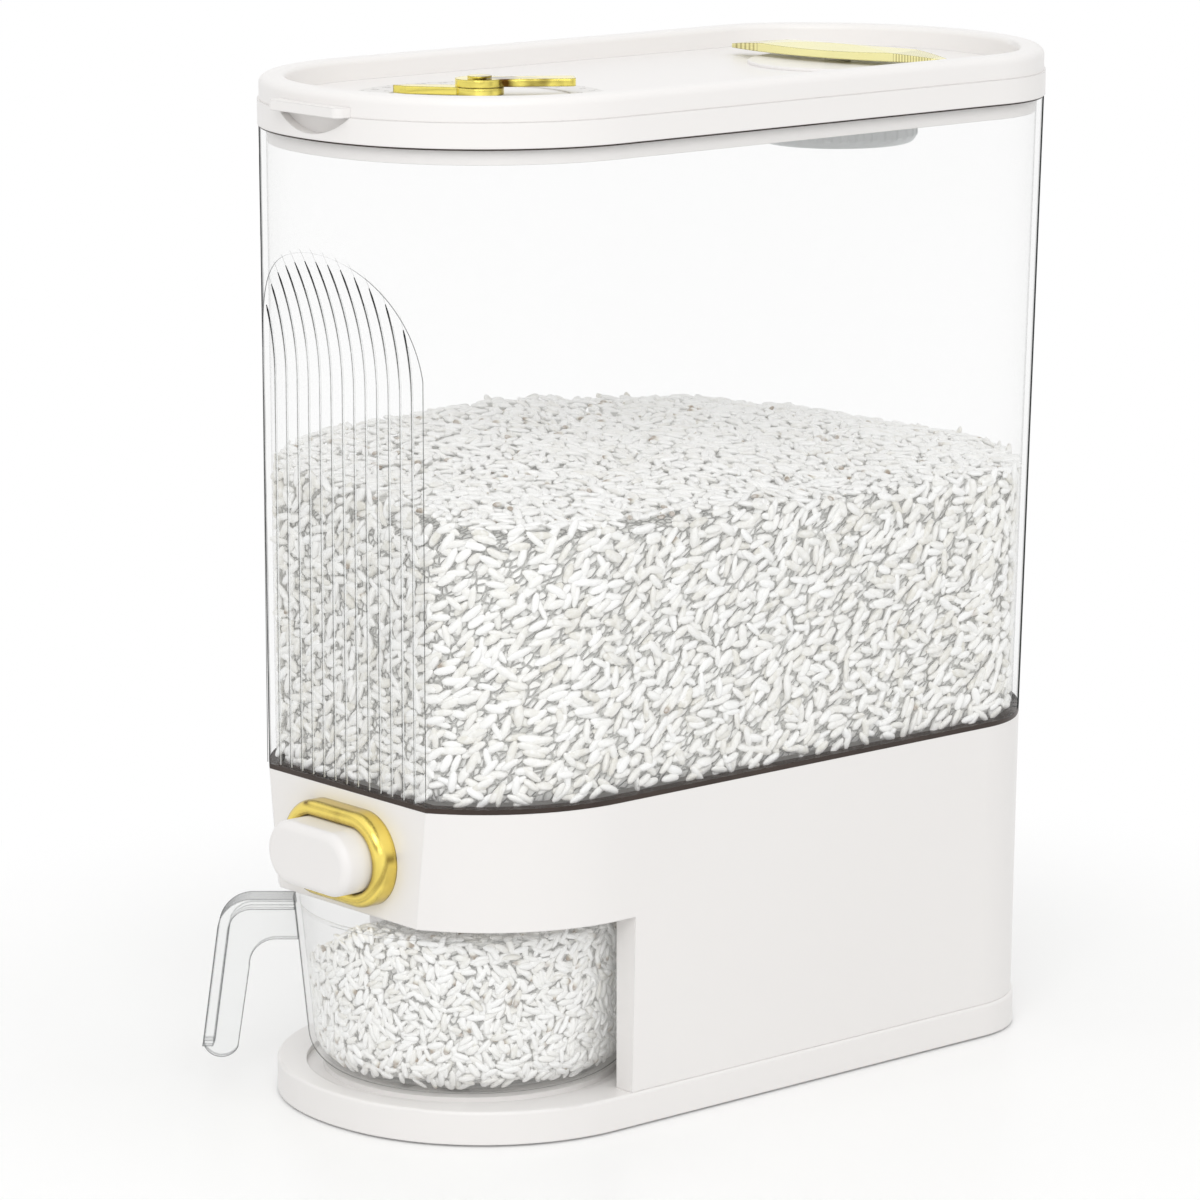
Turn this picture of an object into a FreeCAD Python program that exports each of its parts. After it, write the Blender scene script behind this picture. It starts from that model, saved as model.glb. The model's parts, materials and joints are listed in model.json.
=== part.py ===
import FreeCAD, Part
import math
import os

import Sketcher
from FreeCAD import Placement, Rotation, Vector

# Press-button rice dispenser: a clear hopper with a reeded arch on its front
# stands on a white housing, and a measuring cup stands in the bay under it.
# Frame: millimetres, +Z up, the button faces -Y, the length runs along Y,
# and the origin is on the floor under the middle of the lid.

SIZES = {
    # plan outline of the lid, seen from above
    "half_width": 80.3,
    "front_reach": 162.8,
    "rear_reach": 162.8,
    "front_nose_over": 24.7,
    "front_shoulder_under": 5.5,
    "rear_nose_over": 8.7,
    "rear_shoulder_under": 33.1,
    # heights of the big pieces, from the floor up
    "foot_drop": 0.8,
    "base_top": 13.0,
    "bay_height": 65.8,
    "front_height": 43.6,
    "seal_height": 1.8,
    "seal_width": 5.0,
    "hopper_height": 232.7,
    "lid_seal_height": 0.6,
    "collar_height": 9.0,
    "cover_height": 8.5,
    # how far each level is drawn in from the lid outline
    "hopper_top_inset": 0.45,
    "seam_side_inset": 1.8,
    "seam_front_inset": 1.3,
    "seam_rear_inset": 8.9,
    "seam_rear_shoulder_under": 42.7,
    "foot_side_inset": 5.0,
    "foot_front_inset": 10.1,
    "foot_rear_inset": 11.0,
    "foot_front_nose_over": 46.7,
    "foot_front_shoulder_under": 12.7,
    "foot_rear_shoulder_under": 44.3,
    # flat front and the reeded arch
    "face_set_back": 13.5,
    "reed_pitch": 6.5,
    "reed_count": 12,
    "reed_height": 1.1,
    "arch_straight": 143.8,
    "arch_radius": 101.0,
    "arch_turn": 36.0,
    "arch_cut_reach": 22.0,
    # walls
    "hopper_wall": 2.6,
    "housing_wall": 2.5,
    "slide_gap": 0.3,
    "seat_gap": 0.3,
    "cut_margin": 2.0,
    # housing
    "bay_front_offset": 13.0,
    "bay_gap": 3.2,
    "ledge_width": 3.5,
    "ledge_height": 3.0,
    "post_radius": 4.0,
    "post_height": 22.0,
    "rib_width": 2.4,
    "screw_radius": 1.5,
    "screw_gap": 0.05,
    "screw_head_radius": 3.4,
    "screw_head_height": 2.2,
    "screw_end_gap": 5.0,
    "front_screw_inset": 16.3,
    "front_screw_back": 54.0,
    "rear_screw_inset": 30.3,
    "rear_screw_set_back": 38.8,
    # base
    "base_side_inset": 4.2,
    "base_front_inset": 2.2,
    "base_rear_inset": 11.5,
    "base_nose_over": 12.7,
    "base_front_shoulder_under": 8.3,
    "base_rear_shoulder_under": 45.5,
    "base_wall": 3.0,
    "base_deck": 5.0,
    "base_edge_round": 1.2,
    "foot_radius": 7.0,
    "foot_recess": 1.5,
    "foot_boss_radius": 9.5,
    "screw_boss_radius": 5.4,
    "foot_gap": 0.1,
    "front_foot_inset": 35.3,
    "front_foot_set_back": 44.8,
    "rear_foot_inset": 28.3,
    "rear_foot_set_back": 62.8,
    "seat_over": 6.5,
    "moat_width": 6.2,
    "moat_depth": 2.0,
    # measuring cup
    "cup_set_back": 57.3,
    "cup_side_gap": 15.5,
    "cup_wall": 2.2,
    "cup_top_gap": 4.5,
    "cup_foot_inset": 16.8,
    "cup_heel_radius": 12.0,
    "cup_heel_run": 11.95,
    "cup_heel_rise": 10.85,
    "cup_rim_round": 0.8,
    "cup_foot_ring": 4.0,
    "cup_foot_hollow": 1.0,
    "handle_angle": 229.3,
    "handle_web": 3.2,
    "handle_flange": 12.0,
    "handle_flange_depth": 4.0,
    "handle_top_gap": 0.5,
    "handle_root_depth": 8.0,
    "handle_root_height": 16.3,
    "handle_root_reach": 6.7,
    "handle_bend": 13.0,
    "handle_bend_reach": 15.9,
    "handle_knee_reach": 28.0,
    "handle_knee_drop": 12.3,
    "handle_inner_reach": 16.5,
    "handle_inner_drop": 27.3,
    "handle_finger_round": 10.0,
    "handle_tip_reach": 34.0,
    "handle_tip_rise": 5.0,
    "handle_tip_width": 12.9,
    "handle_tip_drop": 1.6,
    "handle_tip_round": 6.9,
    # funnel, gate and outlet
    "funnel_plate": 2.5,
    "funnel_wall": 2.0,
    "bowl_inset": 10.3,
    "bowl_set_back": 18.3,
    "bowl_rear_inset": 20.8,
    "bowl_nose_over": 3.7,
    "bowl_shoulder_under": 30.3,
    "mouth_half_width": 20.0,
    "mouth_set_back": 33.3,
    "mouth_length": 10.0,
    "mouth_corner": 3.0,
    "mouth_nose": 150.0,
    "neck_height": 4.0,
    "gate_rise": 16.2,
    "gate_height": 3.0,
    "gate_half_width": 26.0,
    "gate_past_mouth": 7.0,
    "press_travel": 11.0,
    "outlet_front_over": 4.0,
    "outlet_rear_over": 22.0,
    "outlet_half_width": 31.0,
    "outlet_plate": 2.5,
    "outlet_wall": 2.0,
    "rail_lip": 2.3,
    "rail_height": 2.0,
    # button
    "button_rise": 21.2,
    "button_half_width": 23.3,
    "button_half_height": 11.8,
    "button_proud": 19.0,
    "button_wall": 2.0,
    "button_round": 3.4,
    "button_gap": 0.4,
    "bezel_width": 5.3,
    "bezel_depth": 8.0,
    "bezel_round": 3.2,
    "bezel_inner_round": 1.4,
    "carrier_half_width": 28.0,
    "carrier_half_height": 16.5,
    "carrier_drop": 1.5,
    "carrier_plate": 2.5,
    "button_screw_x": 14.0,
    "button_screw_radius": 1.2,
    "button_screw_length": 8.0,
    "button_screw_hole": 12.0,
    "button_screw_head_radius": 2.4,
    "button_screw_head_height": 1.5,
    "button_boss_radius": 3.2,
    "button_boss_gap": 1.0,
    "spring_x": 16.0,
    "spring_rise": 7.8,
    "spring_radius": 3.4,
    "spring_wire": 0.5,
    "spring_turns": 6,
    # lid
    "collar_width": 12.0,
    "collar_plate": 2.5,
    "collar_skirt": 5.6,
    "collar_spigot": 6.0,
    "collar_spigot_wall": 1.8,
    "cover_inset": 0.6,
    "cover_round": 3.0,
    "tray_rim": 9.5,
    "tray_floor_rise": 0.5,
    "tray_round": 2.0,
    "plug_depth": 4.0,
    "plug_wall": 2.5,
    "plug_gap": 0.5,
    "floor_plate": 2.5,
    "cover_seal_height": 1.4,
    "tab_half_width": 20.0,
    "tab_reach": 3.6,
    "tab_height": 3.6,
    "tab_corner": 3.0,
    "tab_root": 6.0,
    "scoop_radius": 32.0,
    "scoop_depth": 7.0,
    "scoop_cut": 4.5,
    "hinge_offset": 3.6,
    "hinge_radius": 3.2,
    "hinge_pin_radius": 1.25,
    "hinge_pin_gap": 0.05,
    "hinge_half_width": 21.0,
    "hinge_knuckle_half_width": 8.0,
    "hinge_web_root": 5.0,
    # date dial
    "dial_set_back": 76.8,
    "dial_radius": 46.0,
    "dial_band": 13.0,
    "dial_height": 0.5,
    "hand_hub_radius": 8.8,
    "hand_height": 2.8,
    "hand_half_width": 5.2,
    "hand_point": 5.0,
    "hand_point_half_width": 3.2,
    "hand_corner": 2.0,
    "month_hand_length": 34.2,
    "day_hand_length": 31.4,
    "month_hand_angle": 54.7,
    "day_hand_angle": 220.3,
    "hand_gap": 0.2,
    "dial_pin_radius": 2.2,
    "dial_pin_gap": 0.06,
    "dial_pin_head": 4.4,
    "dial_pin_head_height": 0.7,
    # moisture canister in the lid
    "canister_set_back": 73.8,
    "canister_radius": 31.0,
    "canister_gap": 0.4,
    "canister_depth": 17.5,
    "canister_wall": 1.6,
    "canister_flange": 34.0,
    "canister_flange_height": 1.2,
    "canister_slots": 16,
    "canister_slot_width": 3.0,
    "canister_slot_rise": 2.6,
    "canister_slot_height": 8.0,
    "canister_cap_round": 0.5,
    "canister_cap_spigot": 3.0,
    "canister_cap_gap": 0.1,
    "puck_gap": 1.0,
    "puck_height": 10.0,
    "puck_round": 1.5,
    "grip_angle": 11.0,
    "grip_half_length": 49.0,
    "grip_half_width": 12.5,
    "grip_height": 2.8,
    "grip_ridge": 1.6,
    "grip_tip_height": 1.4,
    "grip_post_radius": 5.0,
    "grip_rise": 3.0,
    "grip_end_half_width": 2.6,
    "grip_end_bulge": 1.2,
}

doc = FreeCAD.newDocument("rice_dispenser")
sheet = doc.addObject("Spreadsheet::Sheet", "Sizes")
for row, (alias, amount) in enumerate(SIZES.items(), start=1):
    sheet.set(f"A{row}", alias)
    sheet.set(f"B{row}", str(amount))
    sheet.setAlias(f"B{row}", alias)
doc.recompute()


class Dim:
    """A size that knows both its number and the expression it is bound by."""

    def __init__(self, text, number):
        self.text = text
        self.number = number

    def join(self, other, sign, number):
        return Dim(f"({self.text} {sign} {other.text})", number)

    def __add__(self, other):
        other = as_dim(other)
        return self.join(other, "+", self.number + other.number)

    def __sub__(self, other):
        other = as_dim(other)
        return self.join(other, "-", self.number - other.number)

    def __mul__(self, other):
        other = as_dim(other)
        return self.join(other, "*", self.number * other.number)

    def __truediv__(self, other):
        other = as_dim(other)
        return self.join(other, "/", self.number / other.number)

    def __radd__(self, other):
        return as_dim(other) + self

    def __rsub__(self, other):
        return as_dim(other) - self

    def __rmul__(self, other):
        return as_dim(other) * self

    def __neg__(self):
        return Dim(f"(0 - {self.text})", -self.number)


def as_dim(value):
    return value if isinstance(value, Dim) else Dim(repr(float(value)), float(value))


def size(alias):
    return Dim(f"Sizes.{alias}", float(sheet.get(alias)))


ZERO = as_dim(0.0)


# ---- sketches and features ----

def new_body(name):
    body = doc.addObject("PartDesign::Body", name)
    body.Label = name
    body.AllowCompound = True
    return body


def new_sketch(body, role, offset=ZERO):
    """A sketch on one of the body's own origin planes, moved along its normal."""
    sketch = body.newObject("Sketcher::SketchObject", "Sketch")
    plane = next(item for item in body.Origin.OriginFeatures if item.Role == role)
    sketch.AttachmentSupport = (plane, [""])
    sketch.MapMode = "FlatFace"
    sketch.AttachmentOffset = Placement(Vector(0, 0, offset.number), Rotation())
    sketch.setExpression("AttachmentOffset.Base.z", offset.text)
    return sketch


def bind(sketch, kind, dim, *where):
    index = sketch.addConstraint(Sketcher.Constraint(kind, *where, dim.number))
    sketch.setExpression(f"Constraints[{index}]", dim.text)


def hold(sketch, kind, dim, geometry, end):
    """Hold one coordinate of a sketch point at a bound distance from the origin."""
    dim = as_dim(dim)
    if dim.text == ZERO.text:
        axis = -2 if kind == "DistanceX" else -1
        sketch.addConstraint(Sketcher.Constraint("PointOnObject", geometry, end, axis))
    else:
        bind(sketch, kind, dim, -1, 1, geometry, end)


def pin(sketch, geometry, end, x, y):
    hold(sketch, "DistanceX", x, geometry, end)
    hold(sketch, "DistanceY", y, geometry, end)


def vector(x, y):
    return Vector(as_dim(x).number, as_dim(y).number, 0)


def draw_polygon(sketch, corners):
    first = sketch.GeometryCount
    count = len(corners)
    for index, corner in enumerate(corners):
        following = corners[(index + 1) % count]
        sketch.addGeometry(Part.LineSegment(vector(*corner), vector(*following)), False)
    for index, corner in enumerate(corners):
        geometry = first + index
        before = first + (index - 1) % count
        sketch.addConstraint(Sketcher.Constraint("Coincident", before, 2, geometry, 1))
        pin(sketch, geometry, 1, *corner)


def draw_rectangle(sketch, low_x, low_y, high_x, high_y):
    draw_polygon(sketch, [(low_x, low_y), (high_x, low_y), (high_x, high_y), (low_x, high_y)])


def draw_circle(sketch, x, y, radius):
    radius = as_dim(radius)
    geometry = sketch.addGeometry(Part.Circle(vector(x, y), Vector(0, 0, 1), radius.number), False)
    pin(sketch, geometry, 3, x, y)
    bind(sketch, "Radius", radius, geometry)


def draw_chain(sketch, steps):
    """A closed chain of lines and arcs.

    Each step is (x, y) for a straight run to that point, or (x, y, radius, side)
    for an arc to it, where side +1 puts the centre on the left of the run.
    """
    count = len(steps)
    pieces = []
    for index, step in enumerate(steps):
        start = vector(*steps[index - 1][:2])
        end = vector(*step[:2])
        if len(step) == 2:
            pieces.append((sketch.addGeometry(Part.LineSegment(start, end), False), 1, 2))
            continue
        radius = as_dim(step[2]).number
        side = step[3]
        run = end - start
        left = Vector(-run.y, run.x, 0).normalize()
        reach = math.sqrt(max(radius ** 2 - (run.Length / 2) ** 2, 0.0))
        centre = start + run * 0.5 + left * reach * side
        angles = [math.atan2(point.y - centre.y, point.x - centre.x) for point in (start, end)]
        if side < 0:
            angles.reverse()
        circle = Part.Circle(centre, Vector(0, 0, 1), radius)
        geometry = sketch.addGeometry(Part.ArcOfCircle(circle, *angles), False)
        pieces.append((geometry, 1, 2) if side > 0 else (geometry, 2, 1))
        if reach > 1e-3:
            bind(sketch, "Radius", as_dim(step[2]), geometry)
        elif abs(run.x) < abs(run.y):
            hold(sketch, "DistanceX", step[0], geometry, 3)
        else:
            hold(sketch, "DistanceY", step[1], geometry, 3)
    for index, (geometry, start, end) in enumerate(pieces):
        following, following_start, _ = pieces[(index + 1) % count]
        sketch.addConstraint(
            Sketcher.Constraint("Coincident", geometry, end, following, following_start))
        pin(sketch, geometry, end, *steps[index][:2])


def draw_slot(sketch, half_width, half_height, x=ZERO, y=ZERO):
    """An oblong with round ends, centred on x, y."""
    straight = half_width - half_height
    draw_chain(sketch, [
        (x - straight, y - half_height, half_height, 1),
        (x + straight, y - half_height),
        (x + straight, y + half_height, half_height, 1),
        (x - straight, y + half_height),
    ])


class Plan:
    """The dispenser's plan outline at one level: half width, reach and radii."""

    def __init__(self, half_width, front, rear, nose, shoulder, rear_nose, rear_shoulder):
        self.half_width = half_width
        self.front = front
        self.rear = rear
        self.nose = nose
        self.shoulder = shoulder
        self.rear_nose = rear_nose
        self.rear_shoulder = rear_shoulder

    def inset(self, amount):
        return Plan(*[value - amount for value in (
            self.half_width, self.front, self.rear, self.nose, self.shoulder,
            self.rear_nose, self.rear_shoulder)])

    def end_points(self, nose, shoulder, reach):
        """Height of the shoulder's centre and the join of shoulder and nose."""
        half = self.half_width.number
        offset = half - shoulder
        drop = math.sqrt((nose - shoulder) ** 2 - offset ** 2)
        centre = reach - nose + drop
        join_x = offset * nose / (nose - shoulder)
        join_y = reach - nose + drop * nose / (nose - shoulder)
        return centre, join_x, join_y

    def draw(self, sketch):
        """Two straight sides, four shoulder arcs and two nose arcs, all tangent."""
        half = self.half_width.number
        ends = []
        for nose, shoulder, reach, way in (
                (self.nose, self.shoulder, self.front, -1),
                (self.rear_nose, self.rear_shoulder, self.rear, 1)):
            centre, join_x, join_y = self.end_points(nose.number, shoulder.number, reach.number)
            ends.append((way * centre, join_x, way * join_y))
        (low, low_x, low_join), (high, high_x, high_join) = ends

        def arc(x, y, radius, start, end):
            centre = Vector(x, y, 0)
            spans = [math.atan2(point[1] - y, point[0] - x) for point in (start, end)]
            return Part.ArcOfCircle(Part.Circle(centre, Vector(0, 0, 1), radius), *spans)

        shoulder = self.shoulder.number
        rear_shoulder = self.rear_shoulder.number
        nose_y = -self.front.number + self.nose.number
        rear_nose_y = self.rear.number - self.rear_nose.number
        curves = [
            Part.LineSegment(Vector(half, low, 0), Vector(half, high, 0)),
            arc(half - rear_shoulder, high, rear_shoulder, (half, high), (high_x, high_join)),
            arc(0, rear_nose_y, self.rear_nose.number, (high_x, high_join), (-high_x, high_join)),
            arc(rear_shoulder - half, high, rear_shoulder, (-high_x, high_join), (-half, high)),
            Part.LineSegment(Vector(-half, high, 0), Vector(-half, low, 0)),
            arc(shoulder - half, low, shoulder, (-half, low), (-low_x, low_join)),
            arc(0, nose_y, self.nose.number, (-low_x, low_join), (low_x, low_join)),
            arc(half - shoulder, low, shoulder, (low_x, low_join), (half, low)),
        ]
        first = sketch.GeometryCount
        sketch.addGeometry(curves, False)
        right, rear_right, rear, rear_left, left, front_left, front, front_right = range(
            first, first + 8)
        chain = [right, rear_right, rear, rear_left, left, front_left, front, front_right]
        for index, geometry in enumerate(chain):
            following = chain[(index + 1) % len(chain)]
            sketch.addConstraint(Sketcher.Constraint("Tangent", geometry, 2, following, 1))
        for line in (right, left):
            sketch.addConstraint(Sketcher.Constraint("Vertical", line))
        bind(sketch, "DistanceX", self.half_width, -1, 1, right, 1)
        bind(sketch, "DistanceX", self.half_width, left, 1, -1, 1)
        for nose in (front, rear):
            sketch.addConstraint(Sketcher.Constraint("PointOnObject", nose, 3, -2))
        bind(sketch, "DistanceY", self.nose - self.front, -1, 1, front, 3)
        bind(sketch, "DistanceY", self.rear - self.rear_nose, -1, 1, rear, 3)
        bind(sketch, "Radius", self.nose, front)
        bind(sketch, "Radius", self.rear_nose, rear)
        for geometry in (front_left, front_right):
            bind(sketch, "Radius", self.shoulder, geometry)
        for geometry in (rear_left, rear_right):
            bind(sketch, "Radius", self.rear_shoulder, geometry)


def feature(body, kind, sketch, **settings):
    made = body.newObject(f"PartDesign::{kind}", kind)
    made.Profile = sketch
    for name, value in settings.items():
        setattr(made, name, value)
    sketch.Visibility = False
    return made


def pad(body, sketch, length, back=ZERO, flip=False):
    """Pad by a bound length, or both ways when back is given."""
    made = feature(body, "Pad", sketch, Length=length.number, Reversed=flip)
    made.setExpression("Length", length.text)
    if back.number:
        made.Type = "TwoLengths"
        made.setExpression("Length2", back.text)
    return made


def pad_middle(body, sketch, length):
    made = feature(body, "Pad", sketch, Midplane=True)
    made.setExpression("Length", length.text)
    return made


def pocket(body, sketch, depth, flip=False):
    """Cut by a bound depth and make sure that the cut took something away."""
    doc.recompute()
    before = body.Shape.Volume
    made = feature(body, "Pocket", sketch, Length=depth.number, Reversed=flip)
    made.setExpression("Length", depth.text)
    doc.recompute()
    if body.Shape.Volume >= before - 1e-3:
        raise RuntimeError(f"a pocket in {body.Label} cut nothing")
    return made


def loft(body, lower, upper, kind="AdditiveLoft", ruled=True):
    return feature(body, kind, lower, Sections=[upper], Ruled=ruled)


def fillet(body, radius, chooses):
    """Round the edges of the body's tip that the chooser picks."""
    doc.recompute()
    tip = body.Tip
    names = [f"Edge{index}" for index, edge in enumerate(tip.Shape.Edges, start=1) if chooses(edge)]
    if not names:
        raise RuntimeError(f"no edge to round in {body.Label}")
    made = body.newObject("PartDesign::Fillet", "Fillet")
    made.Base = (tip, names)
    made.setExpression("Radius", radius.text)
    return made


def level_edge(z):
    """A chooser for edges that lie wholly at one height."""
    def chooses(edge):
        box = edge.BoundBox
        return abs(box.ZMin - z.number) < 1e-3 and abs(box.ZMax - z.number) < 1e-3
    return chooses


def combine(kind, name, base, tool):
    made = doc.addObject(f"Part::{kind}", name)
    made.Base = base
    made.Tool = tool
    made.Label = name
    return made


def cut(name, base, tool):
    return combine("Cut", name, base, tool)


def fuse(name, base, tool):
    return combine("Fuse", name, base, tool)


def prism(name, plan, low, high, flat=None):
    """A straight-sided solid of a plan outline, with the flat front where it has one."""
    body = new_body(name)
    sketch = new_sketch(body, "XY_Plane", low)
    plan.draw(sketch)
    pad(body, sketch, high - low)
    if flat is not None:
        trim_front(body, low, high, flat)
    return body


def taper(name, lower_plan, low, upper_plan, high):
    """A solid that changes evenly from one plan outline to another."""
    body = new_body(name)
    lower = new_sketch(body, "XY_Plane", low)
    lower_plan.draw(lower)
    upper = new_sketch(body, "XY_Plane", high)
    upper_plan.draw(upper)
    loft(body, lower, upper)
    return body


def trim_front(body, low, high, flat):
    """Cut away all that stands in front of the flat front face."""
    margin = size("half_width") + 20
    sketch = new_sketch(body, "XY_Plane", low - 1)
    draw_rectangle(sketch, -margin, -(size("front_reach") + 20), margin, -flat)
    pocket(body, sketch, high - low + 2, flip=True)


# ---- outlines shared by several pieces ----

half_width = size("half_width")
front_reach = size("front_reach")
rear_reach = size("rear_reach")
front_face = front_reach - size("face_set_back")
base_top = size("base_top")
bay_ceiling = base_top + size("bay_height")
housing_top = bay_ceiling + size("front_height")
hopper_bottom = housing_top + size("seal_height")
hopper_top = hopper_bottom + size("hopper_height")
collar_bottom = hopper_top + size("lid_seal_height")
lid_step = collar_bottom + size("collar_height")
lid_top = lid_step + size("cover_height")
margin = size("cut_margin")

# every outline's radii follow the half width, so its arcs always meet
front_nose = half_width + size("front_nose_over")
front_shoulder = half_width - size("front_shoulder_under")
rear_nose = half_width + size("rear_nose_over")
base_nose = half_width + size("base_nose_over")
lid_plan = Plan(half_width, front_reach, rear_reach, front_nose, front_shoulder, rear_nose,
                half_width - size("rear_shoulder_under"))
hopper_top_plan = lid_plan.inset(size("hopper_top_inset"))
seam_plan = Plan(
    half_width - size("seam_side_inset"), front_reach - size("seam_front_inset"),
    rear_reach - size("seam_rear_inset"), front_nose - size("seam_front_inset"),
    front_shoulder - size("seam_side_inset"), rear_nose,
    half_width - size("seam_rear_shoulder_under"))
foot_plan = Plan(
    half_width - size("foot_side_inset"), front_reach - size("foot_front_inset"),
    rear_reach - size("foot_rear_inset"), half_width + size("foot_front_nose_over"),
    half_width - size("foot_front_shoulder_under"), rear_nose,
    half_width - size("foot_rear_shoulder_under"))
base_plan = Plan(
    half_width - size("base_side_inset"), front_reach - size("base_front_inset"),
    rear_reach - size("base_rear_inset"), base_nose,
    half_width - size("base_front_shoulder_under"), base_nose,
    half_width - size("base_rear_shoulder_under"))
nodes = []


def keep(item):
    nodes.append(item)
    return item


# ---- hopper: a clear tapered tube with a reeded arch let into its front ----

def arch_cutter(name, face, reeded):
    """All that is in front of the arch: a straight stretch, then a cove that turns outward.

    The cove is the same profile turned about a level axis in front of the wall.
    """
    body = new_body(name)
    start = hopper_bottom - margin
    turn_start = hopper_bottom + size("arch_straight")
    axis_y = front_face + size("arch_radius")
    side = half_width + margin
    front = front_reach + size("arch_cut_reach")

    def profile(sketch):
        corners = [(side, -front), (side, -face)]
        if reeded:
            pitch = size("reed_pitch")
            count = int(SIZES["reed_count"])
            # the reeds bulge forward of the face between sharp valleys
            rise = size("reed_height")
            radius = (pitch * pitch / 4 + rise * rise) / (2 * rise)
            corners.append((pitch * (count / 2), -face))
            for index in range(1, count + 1):
                corners.append((pitch * (count / 2 - index), -face, radius, 1))
        corners += [(-side, -face), (-side, -front)]
        draw_chain(sketch, corners)

    low = new_sketch(body, "XY_Plane", start)
    profile(low)
    pad(body, low, turn_start - start)
    doc.recompute()
    high = new_sketch(body, "XY_Plane", turn_start)
    profile(high)
    axis = new_sketch(body, "XY_Plane", turn_start)
    axis.addGeometry(Part.LineSegment(vector(-side, -axis_y), vector(side, -axis_y)), False)
    pin(axis, 0, 1, -side, -axis_y)
    pin(axis, 0, 2, side, -axis_y)
    doc.recompute()
    before = body.Shape.Volume
    turned = feature(body, "Revolution", high, ReferenceAxis=(axis, ["Edge1"]))
    turned.setExpression("Angle", "Sizes.arch_turn")
    doc.recompute()
    if body.Shape.BoundBox.ZMax < turn_start.number + 1 or body.Shape.Volume < before:
        turned.Reversed = True
        doc.recompute()
    axis.Visibility = False
    return body


hopper_wall = size("hopper_wall")
outer = taper("hopper_outside", seam_plan, hopper_bottom, hopper_top_plan, hopper_top)
reeds = arch_cutter("reed_cutter", front_face, True)
faced = cut("hopper_faced", outer, reeds)
inner = taper("hopper_inside", seam_plan.inset(hopper_wall), hopper_bottom,
              hopper_top_plan.inset(hopper_wall), hopper_top)
backing = arch_cutter("arch_backing", front_face - hopper_wall, False)
hollow = cut("hopper_hollow", inner, backing)
hopper = keep(cut("hopper", faced, hollow))


# ---- housing: tapered shell with a round bay for the cup under its front ----

wall = size("housing_wall")
cup_y = size("cup_set_back") - front_face
cup_rim = half_width - size("cup_side_gap")
bay_radius = cup_rim + size("bay_gap")
bay_front = -cup_y - size("bay_front_offset")
ledge_top = housing_top - size("funnel_plate")


def bay_block(name, low, high, radius, front):
    """The cup's space: open all round in front, and a round alcove behind."""
    body = new_body(name)
    sketch = new_sketch(body, "XY_Plane", low)
    side = half_width + margin
    draw_rectangle(sketch, -side, -(front_reach + margin), side, -front)
    pad(body, sketch, high - low)
    alcove = new_sketch(body, "XY_Plane", low)
    draw_circle(alcove, ZERO, cup_y, radius)
    pad(body, alcove, high - low)
    return body


def button_opening(body):
    """The oblong hole for the button through the flat front wall."""
    sketch = new_sketch(body, "XZ_Plane", front_face + margin)
    draw_slot(sketch, bezel_inner_half_width, bezel_inner_half_height, ZERO, button_z)
    return sketch


button_z = bay_ceiling + size("button_rise")
button_half_width = size("button_half_width")
button_half_height = size("button_half_height")
bezel_inner_half_width = button_half_width + size("button_gap")
bezel_inner_half_height = button_half_height + size("button_gap")
mouth_half_width = size("mouth_half_width")
mouth_front = front_face - size("mouth_set_back")
mouth_rear = mouth_front - size("mouth_length")
outlet_wall = size("outlet_wall")
pipe_half_width = mouth_half_width + outlet_wall
pipe_front = mouth_front + outlet_wall
pipe_rear = mouth_rear - outlet_wall
screw_places = [
    (half_width - size("front_screw_inset"), cup_y + size("front_screw_back")),
    (half_width - size("rear_screw_inset"), rear_reach - size("rear_screw_set_back"))]

outside = taper("housing_outside", foot_plan, base_top, seam_plan, housing_top)
trim_front(outside, base_top, housing_top, front_face)
bay = bay_block("cup_bay", base_top - margin, bay_ceiling, bay_radius, bay_front)
faced = cut("housing_faced", outside, bay)
inside = taper("housing_inside", foot_plan.inset(wall), base_top - margin,
               seam_plan.inset(wall), housing_top + margin)
trim_front(inside, base_top - margin, housing_top + margin, front_face - wall)
bay_wall = bay_block("bay_wall", base_top - 2 * margin, bay_ceiling + wall,
                     bay_radius + wall, bay_front - wall)
cavity = cut("housing_cavity", inside, bay_wall)
shell = cut("housing_shell", faced, cavity)

# a ledge inside the top edge carries the funnel
ledge_outer = prism("ledge_outside", seam_plan.inset(wall / 2), ledge_top - size("ledge_height"),
                    ledge_top, front_face - wall / 2)
ledge_inner = prism("ledge_inside", seam_plan.inset(wall + size("ledge_width")),
                    ledge_top - size("ledge_height") - margin, ledge_top + margin,
                    front_face - wall - size("ledge_width"))
ledge = cut("housing_ledge", ledge_outer, ledge_inner)
shell = fuse("housing_with_ledge", shell, ledge)

# posts that take the base screws, each tied to the wall by a rib
rib_half = size("rib_width") / 2
posts = new_body("post_blanks")
for post_x, post_y in screw_places:
    for side in (-1, 1):
        sketch = new_sketch(posts, "XY_Plane", base_top)
        draw_circle(sketch, side * post_x, post_y, size("post_radius"))
        pad(posts, sketch, size("post_height"))
        sketch = new_sketch(posts, "XY_Plane", base_top)
        edges = sorted((side * post_x, side * half_width), key=lambda edge: edge.number)
        draw_rectangle(sketch, edges[0], post_y - rib_half, edges[1], post_y + rib_half)
        pad(posts, sketch, size("post_height"))
posts = combine("Common", "housing_posts", posts, outside)
shell = fuse("housing_with_posts", shell, posts)

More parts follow.
